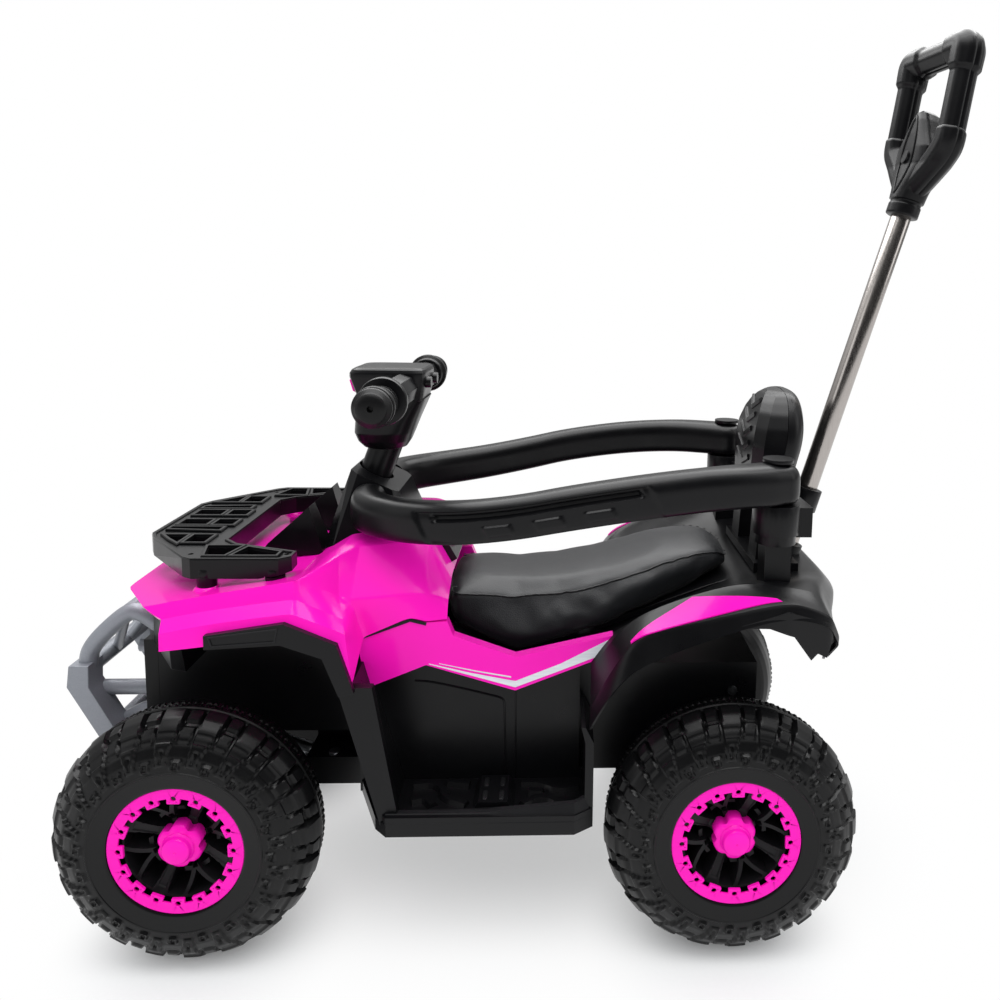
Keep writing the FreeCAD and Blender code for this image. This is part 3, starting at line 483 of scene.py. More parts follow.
# Rack: raised rims round the cut-outs and along the edge, on the solid's top
rackRim = {"top": 260.0, "wide": 3.6, "rise": 2.6, "edgeRise": 1.8,
           "edge": [(-72, 0), (-72, 58), (-64, 72), (-8, 134), (2, 140), (84, 140), (94, 132), (94, 116),
                    (28, 92), (14, 78), (14, 0)],
           "holes": [[(-54, 66), (-32, 66), (-32, 90), (-44, 78)], [(-25, 66), (-6, 66), (-6, 90), (-25, 90)],
                     [(4, 102), (36, 102), (30, 130), (12, 130)],
                     [(44, 106), (78, 120), (78, 130), (38, 130)],
                     [(-58, 10), (-30, 10), (-30, 28), (-58, 28)], [(-22, 10), (-2, 10), (-2, 28), (-22, 28)],
                     [(-60, 38), (-8, 38), (-8, 48), (-60, 44)]]}
half = np.array(rackRim["edge"], float)
rims = [frameGrid(np.array(outline) * (1, side), rackRim["wide"], rackRim["rise"])
        for side in (1, -1) for outline in rackRim["holes"]]
rims.append(frameGrid(np.concatenate([half, (half * (1, -1))[-2:0:-1]]), -rackRim["wide"],
                      rackRim["edgeRise"]))
shape = joinGrids([hoop(grid + (0, 0, rackRim["top"])) for grid in rims])
makePiece("rackRims", shape, "chassis", blackPlastic, 24)

# Fender plates: a bare framed field on each front fender trim
fenderPlate = {"face": 187.0, "wide": 1.6, "rise": 0.9,
               "field": [(40, 197.5), (94, 201.5), (96, 211.5), (38, 204)]}
x, z, out = np.moveaxis(frameGrid(fenderPlate["field"], fenderPlate["wide"], fenderPlate["rise"]), -1, 0)
parts = [hoop(np.stack([x, side * (fenderPlate["face"] + out), z], -1)) for side in (1, -1)]
# painted sheen: the fender plates take the lighter copy of the black plastic
makePiece("fenderPlates", joinGrids(parts), "chassis", paintedSheenPlastic, 24)
print("rims and plates made")

# Bull bar: two cranked end plates joined by bars, round uprights, struts and braces
bar = {"crank": [(-153, 126), (-156, 103), (-124, 45), (-108, 55), (-134, 103), (-133, 126)],
       "plate": (50.0, 78.0),
       "tubes": [([(-142, 62, 120), (-138, 62, 142), (-100, 62, 178), (-86, 62, 180), (-62, 62, 162)], 9.0),
                 ([(-146, 52, 91), (-112, 52, 91), (-80, 52, 91)], 8.0),
                 ([(-117, 52, 53), (-97, 52, 66), (-80, 52, 72)], 6.0),
                 ([(-100, 62, 176), (-119, 37, 147), (-138, 12, 118)], 5.0)],
       "cross": [(-97, 62, 179, 8.0), (-144, 64, 116, 9.0), (-117, 64, 54, 6.5)], "edge": 0.0016}


def tubeAlong(points, radius, up):
    # a round tube along the rounded line
    path, _ = evenPath(roundPath(points, 3), 60)
    return solidSweep(sweep(path, circle(radius, 32), up))


parts = [tubeAlong([(x, -half, z), (x, 0, z), (x, half, z)], radius, (0.1, 0, 1))
         for x, half, z, radius in bar["cross"]]
for side in (1, -1):
    plate = [[(x, side * y, z) for x, z in bar["crank"]] for y in bar["plate"]]
    parts.append(solidSweep(np.array(plate, float)))
    parts += [tubeAlong(np.array(points, float) * (1, side, 1), radius, (0.1, 1, 0.1))
              for points, radius in bar["tubes"]]
piece = makePiece("bullBar", joinGrids(parts), "chassis", greyLacquer, 32, ["bumper"])
edge = piece.modifiers.new("bevel", "BEVEL")
edge.width = bar["edge"]
edge.segments = 3
edge.limit_method = "ANGLE"
edge.angle_limit = math.radians(32)
print("bull bar made")

# Rear body: one smooth shell with both fenders, creased along the arch edge; columns are middle, deck edge,
# fender inner fold, inlay top, inlay foot and arch edge
rear = {"rows": [
    [(384, 0, 152), (384, 84, 152), (384, 113, 160), (382, 130, 146), (380, 166, 124), (379, 178, 110)],
    [(408, 0, 160), (408, 86, 160), (410, 116, 184), (412, 138, 196), (414, 174, 196), (404, 183, 160)],
    [(446, 0, 174), (446, 88, 182), (446, 122, 202), (444, 146, 217), (448, 178, 207), (440, 185, 182)],
    [(505, 0, 198), (505, 86, 206), (505, 124, 219), (490, 146, 233), (508, 180, 222), (500, 186, 205)],
    [(552, 0, 224), (552, 74, 224), (556, 126, 238), (530, 148, 243), (568, 180, 236), (562, 186, 223)],
    [(632, 0, 224), (632, 70, 224), (606, 124, 236), (600, 150, 233), (606, 173, 218), (604, 177, 209)],
    [(648, 0, 206), (648, 66, 206), (624, 120, 206), (617, 148, 203), (617, 166, 194), (616, 168, 187)],
    [(644, 0, 172), (644, 62, 172), (622, 116, 148), (612, 140, 160), (610, 158, 176), (609, 160, 172)]],
    "alongCrease": [[0, 0.2, 0.3, 0.6, 0.8, 1]] * 5 + [[0, 0.2, 0.2, 0.3, 0.6, 1]] * 3,
    "acrossCrease": [1, 0, 0, 0, 0.2, 0.35, 0.5, 1], "wall": 2.4}
creasedShell("rearShell", rear, blackPlastic, ["rear_body"])

# Rear inlays: pink plates let into the fenders, pointed at both ends
inlay = {"run": (1.1, 3.95), "top": ([1.1, 2.7, 3.95], [0.82, 0.1, 0.72]),
         "foot": ([1.1, 1.7, 3.95], [0.9, 0.97, 0.86]), "lift": 1.4, "thick": 4.0,
         "outward": (-0.15, 0.3, 0.94)}


def splineAt(points, t):
    # cubic spline through a column of the shell: the four nearest points weighed by their share of t
    i = np.floor(t).astype(int)
    u = (t - i)[:, None]
    return ((1 - u) ** 3 * points[i - 1] + (3 * u ** 3 - 6 * u ** 2 + 4) * points[i]
            + (-3 * u ** 3 + 3 * u ** 2 + 3 * u + 1) * points[i + 1] + u ** 3 * points[i + 2]) / 6


def inlayGrid():
    # rings across the fender from the top line to the foot line, over the face and back under it
    t = np.linspace(*inlay["run"], 60)
    columns = np.array(rear["rows"], float)
    top, foot = splineAt(columns[:, 3], t), splineAt(columns[:, 4], t)
    low, high = (np.interp(t, *inlay[name]) for name in ("top", "foot"))
    share = np.linspace(0, 1, 12)[None]
    share = low[:, None] + (high - low)[:, None] * share
    face = top[:, None] + share[..., None] * (foot - top)[:, None]
    outward = np.array(inlay["outward"])
    under = face + (inlay["lift"] - inlay["thick"]) * outward
    return np.concatenate([face + inlay["lift"] * outward, under[:, ::-1]], 1)


makePairs(("rearInlay", solidSweep(inlayGrid()), "chassis", pinkAbs, "pink_plastic", 40, "rear_inlay_{}"))

# Tail tips: a plate under each fender's end with a notch between two points
tailTip = {"low": ([518, 544, 567.7, 585.8, 592.4, 602, 608], [211, 210.5, 202, 177.4, 183.5, 178.4, 196]),
           "high": ([500, 562, 604, 616], [208, 226, 212, 190]),
           "face": ([500, 562, 604, 616], [184.5, 184.8, 175.8, 166.6]), "thick": 5.0}


def tailGrid():
    # a four-cornered ring at each station from low line to high line, thick inwards from the fender's face
    stations = tailTip["low"][0]
    x = np.unique(np.concatenate([np.linspace(stations[0], stations[-1], 31), stations]))
    low, high, face = (np.interp(x, *tailTip[name]) for name in ("low", "high", "face"))
    inner = face - tailTip["thick"]
    corners = ((face, low), (face, high), (inner, high), (inner, low))
    return np.stack([np.stack([x, y, z], 1) for y, z in corners], 1)


makePairs(("tailTip", solidSweep(tailGrid()), "chassis", blackPlastic, "black_plastic", 30))
print("rear body made")

# Backrest: faceted front pad with chevron ribs and a smooth rear shell, parted at half depth; each row is
# height, front x, rear x and half width
backRows = np.array([(318, 556, 604, 60), (340, 556.5, 609, 64), (356, 557, 613, 65.5), (374, 560, 615, 63),
                     (390, 565, 614, 56), (401, 570, 612, 47), (408, 575, 609, 38), (412, 580, 605, 27),
                     (414, 586, 600, 12)], float)
back = {"parting": 0.52, "gap": 0.3, "bevel": 8, "power": 2 / 2.8,
        "chevron": [(-3.2, -1.5), (3.2, -1.5), (3.2, 0.6), (2.2, 1.6), (-2.2, 1.6), (-3.2, 0.6)]}


def padGrid():
    # six-cornered sections: flat face, two slanted flanks and the parting plane
    line, _ = evenPath(backRows, 48)
    z, front, rear, half = line.T
    part = front + (rear - front) * back["parting"] - back["gap"]
    inner, outer = np.maximum(half - 24, half * 0.3), np.maximum(half - 7, half * 0.8)
    flank = front + back["bevel"]
    corners = [(front, -inner), (front, inner), (flank, outer), (part, half), (part, -half), (flank, -outer)]
    return np.stack([np.stack([x, y, z], 1) for x, y in corners], 1)


def backGrid():
    # half ovals behind the parting plane: half width by sine and depth by cosine, both to the power 2 / 2.8
    line, _ = evenPath(roundPath(backRows, 2), 60)
    z, front, rear, half = (k[:, None] for k in line.T)
    part = front + (rear - front) * back["parting"]
    a = np.linspace(-np.pi / 2, np.pi / 2, 40)[None]
    x = part + back["gap"] + (rear - part) * np.cos(a).clip(0) ** back["power"]
    y = half * np.sign(np.sin(a)) * np.abs(np.sin(a)) ** back["power"]
    return np.stack([x, y, z * np.ones_like(a)], -1)


def chevronGrids():
    # five flat ribs on the pad's face, each a V of two straight arms, narrower towards the top
    grids = []
    for i in range(5):
        z = 330 + 15.5 * i
        arm = 27 - 2.2 * i
        path, _ = evenPath(np.array([(0, -arm, z + 10.0), (0, 0, z), (0, arm, z + 10.0)]), 41)
        path[:, 0] = np.interp(path[:, 2], backRows[:, 0], backRows[:, 1]) - 0.2
        grids.append(solidSweep(sweep(path, back["chevron"], (-1, 0, 0))))
    return grids


shape = joinGrids([solidSweep(padGrid())] + chevronGrids())
makePiece("backrestPad", shape, "chassis", blackPlastic, 16, ["backrest_front"])
makePiece("backrestShell", solidSweep(backGrid()), "chassis", blackPlastic, 40,
          ["backrest_rear"])
print("backrest made")

# Tyres: blown in one piece with the spoked centre
tyre = {"radius": 125.0, "lugHeight": 6.8, "innerY": 113.0, "lugs": 20, "stepsPerLug": 24, "knurls": 120}
# profile as (radius, distance from the inner face), from the ring seat over the crown to the hub at the back
tyreProfile = [(62.4, 73), (62.4, 76.6), (63.4, 77.4), (77.6, 79.4), (78.2, 80.0), (79.4, 80.0), (80.0, 79.3),
               (86, 78.6), (94, 76.6), (101, 73.2), (107, 68.2), (112, 62), (115.6, 55.5), (117.6, 49),
               (118.2, 45.5), (122.6, 44.6), (123.6, 43.4), (123.6, 41.6), (122.4, 40.4), (120.2, 39.6),
               (120.4, 38), (120.8, 26.5), (119.6, 24), (116, 15), (111, 7), (104, 1.2), (100, 0), (92, 0),
               (88, 5), (40, 6), (34, 0), (9, 0), (6.4, 2)]


def tyreGrid():
    # r(theta, s): the profile moved along its own normal by lugs (soft boxes in angle and in radius), a
    # slotted foot on each lug, framed pads between them and fine knurls on the inner band
    corner = np.array(tyreProfile)
    steps = np.linalg.norm(np.diff(corner, axis=0), axis=1)
    counts = np.maximum(1, np.round(steps / 1.25)).astype(int)
    counts[-6:] = np.minimum(counts[-6:], 6)
    pieces = [corner[i] + (corner[i + 1] - corner[i]) * np.linspace(0, 1, n, endpoint=False)[:, None]
              for i, n in enumerate(counts)]
    line = np.concatenate(pieces + [corner[-1:]])
    slope = np.gradient(line, axis=0)
    normal = np.stack([-slope[:, 1], slope[:, 0]], 1)
    normal /= np.linalg.norm(normal, axis=1, keepdims=True)
    r, s = line[:, 0], line[:, 1]
    count = tyre["lugs"] * tyre["stepsPerLug"]
    theta = np.linspace(0, 2 * np.pi, count, endpoint=False)
    turn = (theta * tyre["lugs"] / (2 * np.pi)) % 1.0
    skew = 0.12 * (r - 100) / 20
    u = ((turn[:, None] + skew[None] + 0.25) % 1.0 - 0.5) * 36 / tyre["lugs"] * 10
    outer = s > 45.2
    reach = r[None] * np.ones_like(u)
    depth = s[None] * np.ones_like(u)
    half = np.interp(reach, [84, 98, 108, 118], [2.9, 3.3, 4.4, 4.9])
    block = np.clip((half - np.abs(u)) / 0.7 + 0.5, 0, 1) * softBox(reach, 85.5, 140, 1.6)
    height = np.interp(reach, [84, 92, 106, 118], [1.3, 1.9, 3.6, tyre["lugHeight"]])
    slot = softBox(np.abs(u), -1, 0.9, 0.5) * softBox(reach, 88.5, 98.5, 1.0)
    step = softBox(reach, 103.5, 110.5, 1.2) * 0.35
    lug = block * height * (1 - 0.75 * slot - step)
    v = (u + 18.0) % 18.0 - 9.0
    pad = softBox(np.abs(v), -1, 2.7, 0.5) * softBox(reach, 82.5, 90.5, 1.0)
    hollow = softBox(np.abs(v), -1, 1.3, 0.5) * softBox(reach, 85, 88.6, 1.0)
    block2 = softBox(np.abs(v), -1, 2.9, 0.6) * softBox(reach, 104, 140, 1.4)
    gap2 = softBox(reach, 112.5, 115, 0.8)
    blockRise = np.interp(reach, [104, 118], [1.8, 5.0])
    small = pad * (1 - 0.85 * hollow) * 2.0 + block2 * (1 - 0.7 * gap2) * blockRise
    lift = np.where(outer[None], np.maximum(lug, small), 0)
    knurl = np.where((theta * tyre["knurls"] / (2 * np.pi)) % 1.0 < 0.5, 1.0, 0.0)
    band = softBox(depth, 27.5, 32, 0.8) + softBox(depth, 33.5, 38.2, 0.8)
    lift = lift + knurl[:, None] * band * 1.7
    ring = np.stack([r[None] + lift * normal[None, :, 0], s[None] + lift * normal[None, :, 1]], -1)
    ring[..., 0] = np.minimum(ring[..., 0], tyre["radius"])
    return theta, ring


rim = {"base": 38.0, "face": 58.0, "rise": 9.5, "outer": 52.0, "inner": 8.0, "broad": 4, "phase": 66.0}


def rimGrid():
    # height over (theta, r): pocket floor raised where the point lies on the hub, the rim or a spoke
    theta = np.linspace(0, 2 * np.pi, 480, endpoint=False)
    r = np.concatenate([np.linspace(rim["inner"], 20, 8), np.linspace(20.6, rim["outer"], 52)])
    t, q = np.meshgrid(theta - math.radians(rim["phase"]), r, indexing="ij")
    quarter = 2 * np.pi / rim["broad"]
    a = (t + quarter / 2) % quarter - quarter / 2
    b = t % quarter - quarter / 2
    broad = np.clip((np.interp(q, [18, 27, 40, 52], [6.5, 4.6, 5.6, 8.2]) - np.abs(q * a)) / 0.9 + 0.5, 0, 1)
    fork = np.radians(17.5) * np.clip((q - 25) / 24, 0, 1)
    arms = np.clip((2.9 - np.abs(q * (np.abs(b) - fork))) / 0.9 + 0.5, 0, 1) * softBox(q, 10, 60, 1)
    web = softBox(q, 28.5, 33.5, 1.0) * softBox(np.abs(q * b), -1, 13.5, 1.0)
    hole = softBox(q, 24, 28.5, 0.9) * softBox(np.abs(q * b), -1, 2.0, 0.8)
    hub = np.clip((19.5 - q) / 0.9 + 0.5, 0, 1)
    seat = np.clip((q - 49.6) / 0.9 + 0.5, 0, 1)
    top = np.maximum.reduce([hub, seat, broad, arms * (1 - hole), 0.8 * web * (1 - hole)])
    crown = np.interp(q, [8, 22, 49, 52], [0, 0, 0.9, 1.0]) * rim["rise"]
    groove = np.interp(np.abs(q * a), [0, 3.2, 3.8], [1.2, 1.2, 0])
    sink = np.where(hub > 0.5, 0, groove) * softBox(q, 24, 46, 1)
    height = rim["base"] + top * (rim["face"] - rim["base"] + crown - sink)
    return theta, np.stack([q * np.ones_like(height), height], -1)


cap = {"profile": [(10, 56), (21, 56), (21.5, 57), (21.3, 66.4), (20.2, 68.4), (17.6, 69.6), (15.2, 70.1),
                   (14.8, 70.7), (14.4, 71.5), (13.6, 72.2), (13.1, 72.8), (12.8, 75.8), (12.2, 76.9),
                   (11, 77.6), (1.2, 77.8), (0.8, 77.3), (0.01, 77.2)], "lobes": 6, "notch": 4.2}


def capGrid():
    # the turned profile with a rounded notch between the lobes: r - notch * exp(-(angle / 10 degrees) ** 2)
    # on the skirt
    profile = np.array(cap["profile"])
    theta = np.linspace(0, 2 * np.pi, 144, endpoint=False)
    step = 2 * np.pi / cap["lobes"]
    off = (theta + step / 2) % step - step / 2
    dip = np.exp(-(off / math.radians(10)) ** 2)
    skirt = np.interp(profile[:, 1], [46, 66.4, 70.1, 70.5], [1, 1, 0.25, 0]) * (profile[:, 0] > 14.9)
    depth = skirt * cap["notch"]
    r = profile[None, :, 0] - dip[:, None] * depth[None]
    return theta, np.stack([r, np.broadcast_to(profile[None, :, 1], r.shape)], -1)


def wheelPlace(theta, ring, x, side):
    # (radius, distance from the inner face) at angle theta becomes a place on the wheel of that side
    r, s = ring[..., 0], ring[..., 1]
    c, n = np.cos(theta)[:, None], np.sin(theta)[:, None]
    return np.stack([x + r * c, side * (tyre["innerY"] + s), r * n], -1)


wheelParts = [("tyre", tyreGrid(), tyrePlastic, "tyre_moulding", 32, ["tyre_"]),
              # painted sheen: the spokes take the lighter copy of the black plastic
              ("spokes", rimGrid(), paintedSheenPlastic, "tyre_moulding", 40, []),
              ("cap", capGrid(), pinkAbs, "pink_plastic", 45, ["cap_"])]
for endName, x in (("front", 0.0), ("rear", bike["wheelBase"])):
    for sideName, side in (("left", -1), ("right", 1)):
        corner = endName + "_" + sideName
        for stem, (theta, ring), finish, slotName, angle, replaced in wheelParts:
            grid = wheelPlace(theta, ring, x, side)
            makePiece(stem + endName.title() + sideName.title(),
                      (grid, gridFaces(*grid.shape[:2], closeRows=True)),
                      "wheel_" + corner, finish, angle, [node + corner for node in replaced])
print("wheels made")

# Guard arms: rounded-top section along the bow, with a recessed panel and a slot on the outer side
guard = {"path": [(150, 50.4, 293), (150.6, 64, 293), (156, 80, 293), (174, 101, 293), (208, 123, 294),
                  (255, 141, 298), (310, 153, 307), (360, 158, 318), (435, 155, 329), (500, 144, 334),
                  (542, 131, 334), (563, 121, 334)],
         "half": 17.4, "hinge": 22.0, "high": 20.0, "bore": 8.2, "steps": 260, "panel": (0.245, 0.715),
         "slot": (0.28, 0.695), "dashes": (0.4, 0.5, 0.6)}


def guardSection(a):
    # a superellipse, rounder above its middle than below
    return ovalRing(a, np.where(np.sin(a) > 0, 2.7, 5.0))


def guardGrid():
    # a squarish ring (sideways, upwards) with a round top, pushed in outside over the panel and the slot
    path, run = evenPath(roundPath(guard["path"], 3), guard["steps"])
    share = run / run[-1]
    wide, high = guardSection(np.linspace(0, 2 * np.pi, 96, endpoint=False))
    half = np.interp(share, [0.82, 1.0], [guard["half"], guard["hinge"]])
    ring = np.stack([half[:, None] * wide[None],
                     np.repeat((guard["high"] * high)[None], guard["steps"], 0)], -1)
    up = ring[..., 1]
    outer = np.clip((np.abs(ring[..., 0]) - 12) / 3, 0, 1) * (ring[..., 0] > 0)
    lean = share[:, None] + up * 0.0011
    panel = softBox(lean, *guard["panel"], 0.006) * softBox(up, -19, 12.5, 1.6)
    slot = softBox(lean, *guard["slot"], 0.005) * softBox(up, 4.0, 9.5, 1.2)
    dash = sum(softBox(lean, middle - 0.028, middle + 0.028, 0.004) for middle in guard["dashes"])
    dash = dash * softBox(up, -13, -3.5, 1.2)
    ring[..., 0] -= outer * (2.2 * panel + 4.5 * slot - 1.6 * dash)
    tangent = np.gradient(path, axis=0)
    tangent[:, 2] = 0
    tangent[0] = (0, 1, 0)
    tangent /= np.linalg.norm(tangent, axis=1, keepdims=True)
    outward = np.stack([-tangent[:, 1], tangent[:, 0], np.zeros(len(path))], 1)
    return path[:, None] + ring[..., :1] * outward[:, None] + ring[..., 1:] * np.array([0, 0, 1.0])


def barrelProfile():
    # the arm's own rounded section from the foot to the crown, as radius and height, open for the pin
    wide, rise = guardSection(np.linspace(-np.pi / 2, np.pi / 2, 40))
    bore, high = guard["bore"], guard["high"]
    skirt = np.stack([guard["hinge"] * wide, high * rise], 1)
    return np.concatenate([[(bore, -high)], skirt[skirt[:, 0] > bore], [(bore, high), (bore, -high)]])


barrel = turned(barrelProfile(), guard["path"][-1], (0, 0, 1), 64)
shape = joinGrids([solidSweep(guardGrid()), tube(barrel)])
makePairs(("guardArm", shape, "guard_{}", blackPlastic, "black_plastic", 38, "guard_{}"))
print("guard arms made")

# Grips: soft vinyl with rings, short, a stepped and domed end with a moulded hole
grip = {"centre": (182.9, 0, 412.0), "start": 139.0, "radius": 15.6, "core": 13.8,
        "end": [(13.8, 169.4), (18.4, 170), (18.9, 171.2), (18.9, 175), (18.2, 176), (17.2, 176.2),
                (17.2, 178), (18.0, 178.6), (18.0, 181.6), (17.2, 183), (14.6, 184.6), (14.2, 185.4),
                (13.4, 186.4), (10.6, 187.8), (7, 188.7), (3, 189), (2.5, 188.4), (2.3, 184), (0.01, 184)]}


def gripProfile():
    # radius along the bar: four rings with narrow waists, then two steps and a dome with a small hole
    h = np.linspace(0, 30, 80)
    wave = (h % 7.5) / 7.5
    ringed = grip["radius"] - 1.8 + 1.8 * softBox(wave, 0.16, 0.72, 0.14)
    body = np.stack([ringed, grip["start"] + h], 1)
    return np.concatenate([[(0.01, grip["start"]), (grip["core"], grip["start"])], body, grip["end"]])


for sideName, side in (("left", -1), ("right", 1)):
    shape = tube(turned(gripProfile(), grip["centre"], (0, side, 0), 72))
    makePiece("grip" + sideName.title(), shape, "steering", gripRubber, 40,
              ["grip_" + sideName])

# Handlebar: bulged column cover, box pod, eight-sided arms and hand stops, a pink plate on the pod's front
handlebar = {"stem": [(300, 140.4, 18.6, 18.8, 2), (346, 157.8, 18.6, 18.8, 2)],
             "cover": [(343, 157.5, 17, 18, 2.2), (345, 157.5, 23, 22, 2.4), (352, 157, 28, 29, 2.8),
                       (362, 157.5, 31.5, 34, 3.2), (376, 161, 33.5, 36, 3.4), (390, 166, 34.5, 36.5, 4),
                       (400, 170, 34.5, 36, 5)],
             "pod": [(396, 169, 30, 32, 6), (399, 168.5, 34, 36, 8), (410, 167.5, 37, 38, 9),
                     (424, 166, 40, 40, 9), (428, 166, 40, 40, 9), (431.5, 166.5, 38.6, 38.6, 8),
                     (433.4, 167, 36, 36, 7), (434, 167, 30, 30, 6)],
             "arm": [(0.01, 20), (16.4, 20), (16.4, 96), (15.2, 98), (15.2, 128), (0.01, 128)],
             "stop": [(0.01, 124), (17, 124), (18, 124.6), (19.5, 129), (22.6, 131), (23, 132), (23, 137),
                      (22.2, 138.6), (17, 139), (0.01, 139)],
             "plate": [(406, 129.6, 1.2, 20, 4), (408, 129.0, 1.6, 25, 6), (413, 128.4, 1.6, 28, 6),
                       (420, 127.2, 1.6, 31, 6), (422, 127.4, 1.0, 28, 4)]}


def columnLoft(rows):
    # superellipse rings: height, middle in x, half depth, half width and power, spread over 60 even heights
    line, _ = evenPath(np.asarray(rows, float), 60)
    deep, wide = ovalRing(np.linspace(0, 2 * np.pi, 72, endpoint=False)[None], line[:, 4:])
    return np.stack([line[:, 1:2] + line[:, 2:3] * deep, line[:, 3:4] * wide,
                     line[:, :1] * np.ones_like(deep)], -1)


parts = [solidSweep(columnLoft(handlebar[name])) for name in ("stem", "cover", "pod")]
for name, count in (("arm", 8), ("stop", 72)):
    parts += [tube(turned(handlebar[name], grip["centre"], (0, side, 0), count)) for side in (-1, 1)]
makePiece("handlebarCover", joinGrids(parts), "steering", blackPlastic, 30, ["handlebar"])
makePiece("podPlate", solidSweep(columnLoft(handlebar["plate"])), "steering", pinkAbs, 30)
print("grips and handlebar made")

# Push handle: a six-cornered loop with a parting groove and swollen corners, turned a little on its tube, and
# a forked yoke with a leaf-shaped rim on the tube
handle = {"lean": (115.0, 390.0), "foot": (611.0, 228.0), "collar": 618.0, "half": 49.0, "length": 158.0,
          "radius": 14.0, "swell": 17.6, "swellReach": 21, "turn": math.radians(8), "bend": 0.14,
          "bendFrom": 40,
          "leaf": (8, 92), "leafHalf": 10.5}
tubeDir = np.array([handle["lean"][0], 0, handle["lean"][1]]) / math.hypot(*handle["lean"])
faceDir = np.cross([0, 1.0, 0], tubeDir)
collarRise = handle["collar"] - handle["foot"][1]
handleBase = np.array([handle["foot"][0], 0, handle["foot"][1]]) + tubeDir * collarRise / tubeDir[2]


def handlePlace(along, side, out):
    # along the tube, sideways and out of the loop's plane, turned about the tube and bent forwards above the
    # collar, to bike millimetres
    along, side, out = np.broadcast_arrays(along, side, out)
    c, w = math.cos(handle["turn"]), math.sin(handle["turn"])
    across = side * c + out * w
    back = out * c - side * w - handle["bend"] * np.maximum(along - handle["bendFrom"], 0)
    return (handleBase + along[..., None] * tubeDir + across[..., None] * np.array([0, 1.0, 0])
            + back[..., None] * faceDir)


def loopGrid():
    # a tube along the loop, flattened a little on eight sides, its radius eased up on the corners and on the
    # fork and drawn in along the parting line
    h, n = handle["half"], handle["length"]
    half = [(14, 0), (22, 12), (50, h - 8), (60, h), (76, h), (n - 16, h), (n, h), (n, h - 16)]
    path, _ = evenPath(roundPath(half + [(a, -b) for a, b in half[::-1]], 3), 320)
    t = np.gradient(path, axis=0)
    t /= np.linalg.norm(t, axis=1, keepdims=True)
    side = np.stack([-t[:, 1], t[:, 0]], 1)
    a = np.linspace(0, 2 * np.pi, 64, endpoint=False)
    corner = np.hypot(path[:, 0] - n + 4, np.abs(path[:, 1]) - h + 4)
    ease = np.cos(np.clip(corner / handle["swellReach"], 0, 1) * np.pi / 2)
    swollen = softBox(corner, -1, handle["swellReach"], 4) * (0.82 + 0.18 * ease)
    fork = softBox(path[:, 0], -50, 74, 1.2)
    radius = handle["radius"] - 0.4 + (handle["swell"] - handle["radius"]) * swollen + 1.6 * fork
    flats = 1 - 0.022 * np.cos(8 * a)
    groove = 1 - 0.06 * np.exp(-((np.abs(np.sin(a))) / 0.07) ** 2)
    r = radius[:, None] * (groove * flats)[None]
    along = path[:, :1] + r * np.cos(a)[None] * side[:, :1]
    across = path[:, 1:] + r * np.cos(a)[None] * side[:, 1:]
    return handlePlace(along, across, r * np.sin(a)[None])


# rows up the tube: height, half width, half depth and power
yokeRows = np.array([(-14, 15.5, 15.5, 2), (-13, 17.4, 17.4, 2), (-2, 17.4, 17.4, 2), (-1, 16.4, 16.4, 2),
                     (2, 16.4, 16.4, 2), (3, 18.4, 18, 2.2), (12, 19.6, 17.6, 2.6), (26, 25, 17, 3.2),
                     (42, 31, 16.4, 3.6), (58, 31, 15.8, 3.6), (74, 22, 15, 3.2), (88, 15, 14, 3),
                     (96, 10, 12, 2.6), (99, 5, 8, 2.2)], float)


def yokeGrid():
    # superellipse sections up the tube: round collar, widening fork, ending in a blunt point inside the loop
    line, _ = evenPath(yokeRows, 110)
    wide, deep = ovalRing(np.linspace(0, 2 * np.pi, 64, endpoint=False)[None], line[:, 3:4])
    return handlePlace(line[:, :1], line[:, 1:2] * wide, line[:, 2:3] * deep)


def leafGrid():
    # a thin rim up one side of the yoke's front face and down the other: half width is a sine of the height
    low, high = handle["leaf"]
    rise = np.concatenate([np.linspace(low, high, 60), np.linspace(high, low, 60)[1:-1]])
    sign = np.repeat([1, -1], [60, 58])
    half = handle["leafHalf"] * np.sin(np.pi * (rise - low) / (high - low)) ** 0.8 * sign
    front = -np.interp(rise, yokeRows[:, 0], yokeRows[:, 2])
    a = np.linspace(0, 2 * np.pi, 10, endpoint=False)
    path = np.stack([rise, half], 1)
    t = np.roll(path, -1, 0) - np.roll(path, 1, 0)
    t /= np.linalg.norm(t, axis=1, keepdims=True)
    wide = 1.5 * np.cos(a)[None]
    out = front[:, None] + 1.3 * np.sin(a)[None]
    return handlePlace(rise[:, None] - wide * t[:, 1:], half[:, None] + wide * t[:, :1], out)


shape = joinGrids([solidSweep(loopGrid()), solidSweep(yokeGrid()), hoop(leafGrid())])
makePiece("pushLoop", shape, "push_handle", blackPlastic, 34,
          ["handle_front", "handle_rear"])
print("push handle made")

# Seat cushion: copied from its solid, shrunk a little, blown up as cloth with a capped move, then seamed
seat = {"voxel": 0.004, "shrink": 0.0015, "pressure": 4.0, "tension": 25, "bending": 2.0, "frames": 20,
        "cap": 0.006,
        "lean": 48, "press": 0.55, "seamReach": 5.0, "seamIn": 1.6, "seamDown": 0.8}
# stations of the solid's upper edge and of the sewn edge above it, as (x, half width, height)
seatStations = np.array([(241, 58, 186), (247, 76, 198), (262, 84, 201), (305, 88, 201), (350, 90, 205),
                         (393, 90, 212), (430, 88, 219), (466, 84, 227), (500, 76, 233), (522, 64, 233),
                         (536, 46, 228)], float)
seatSewn = np.array([(241, 68, 203), (262, 68, 201), (305, 68, 199), (350, 69, 202), (393, 68, 210),
                     (430, 65, 220), (466, 60, 232), (500, 54, 240), (522, 47, 240), (536, 36, 233)], float)


def pointsOf(mesh):
    # the mesh's points as an array
    points = np.zeros(len(mesh.vertices) * 3)
    mesh.vertices.foreach_get("co", points)
    return points.reshape(-1, 3)


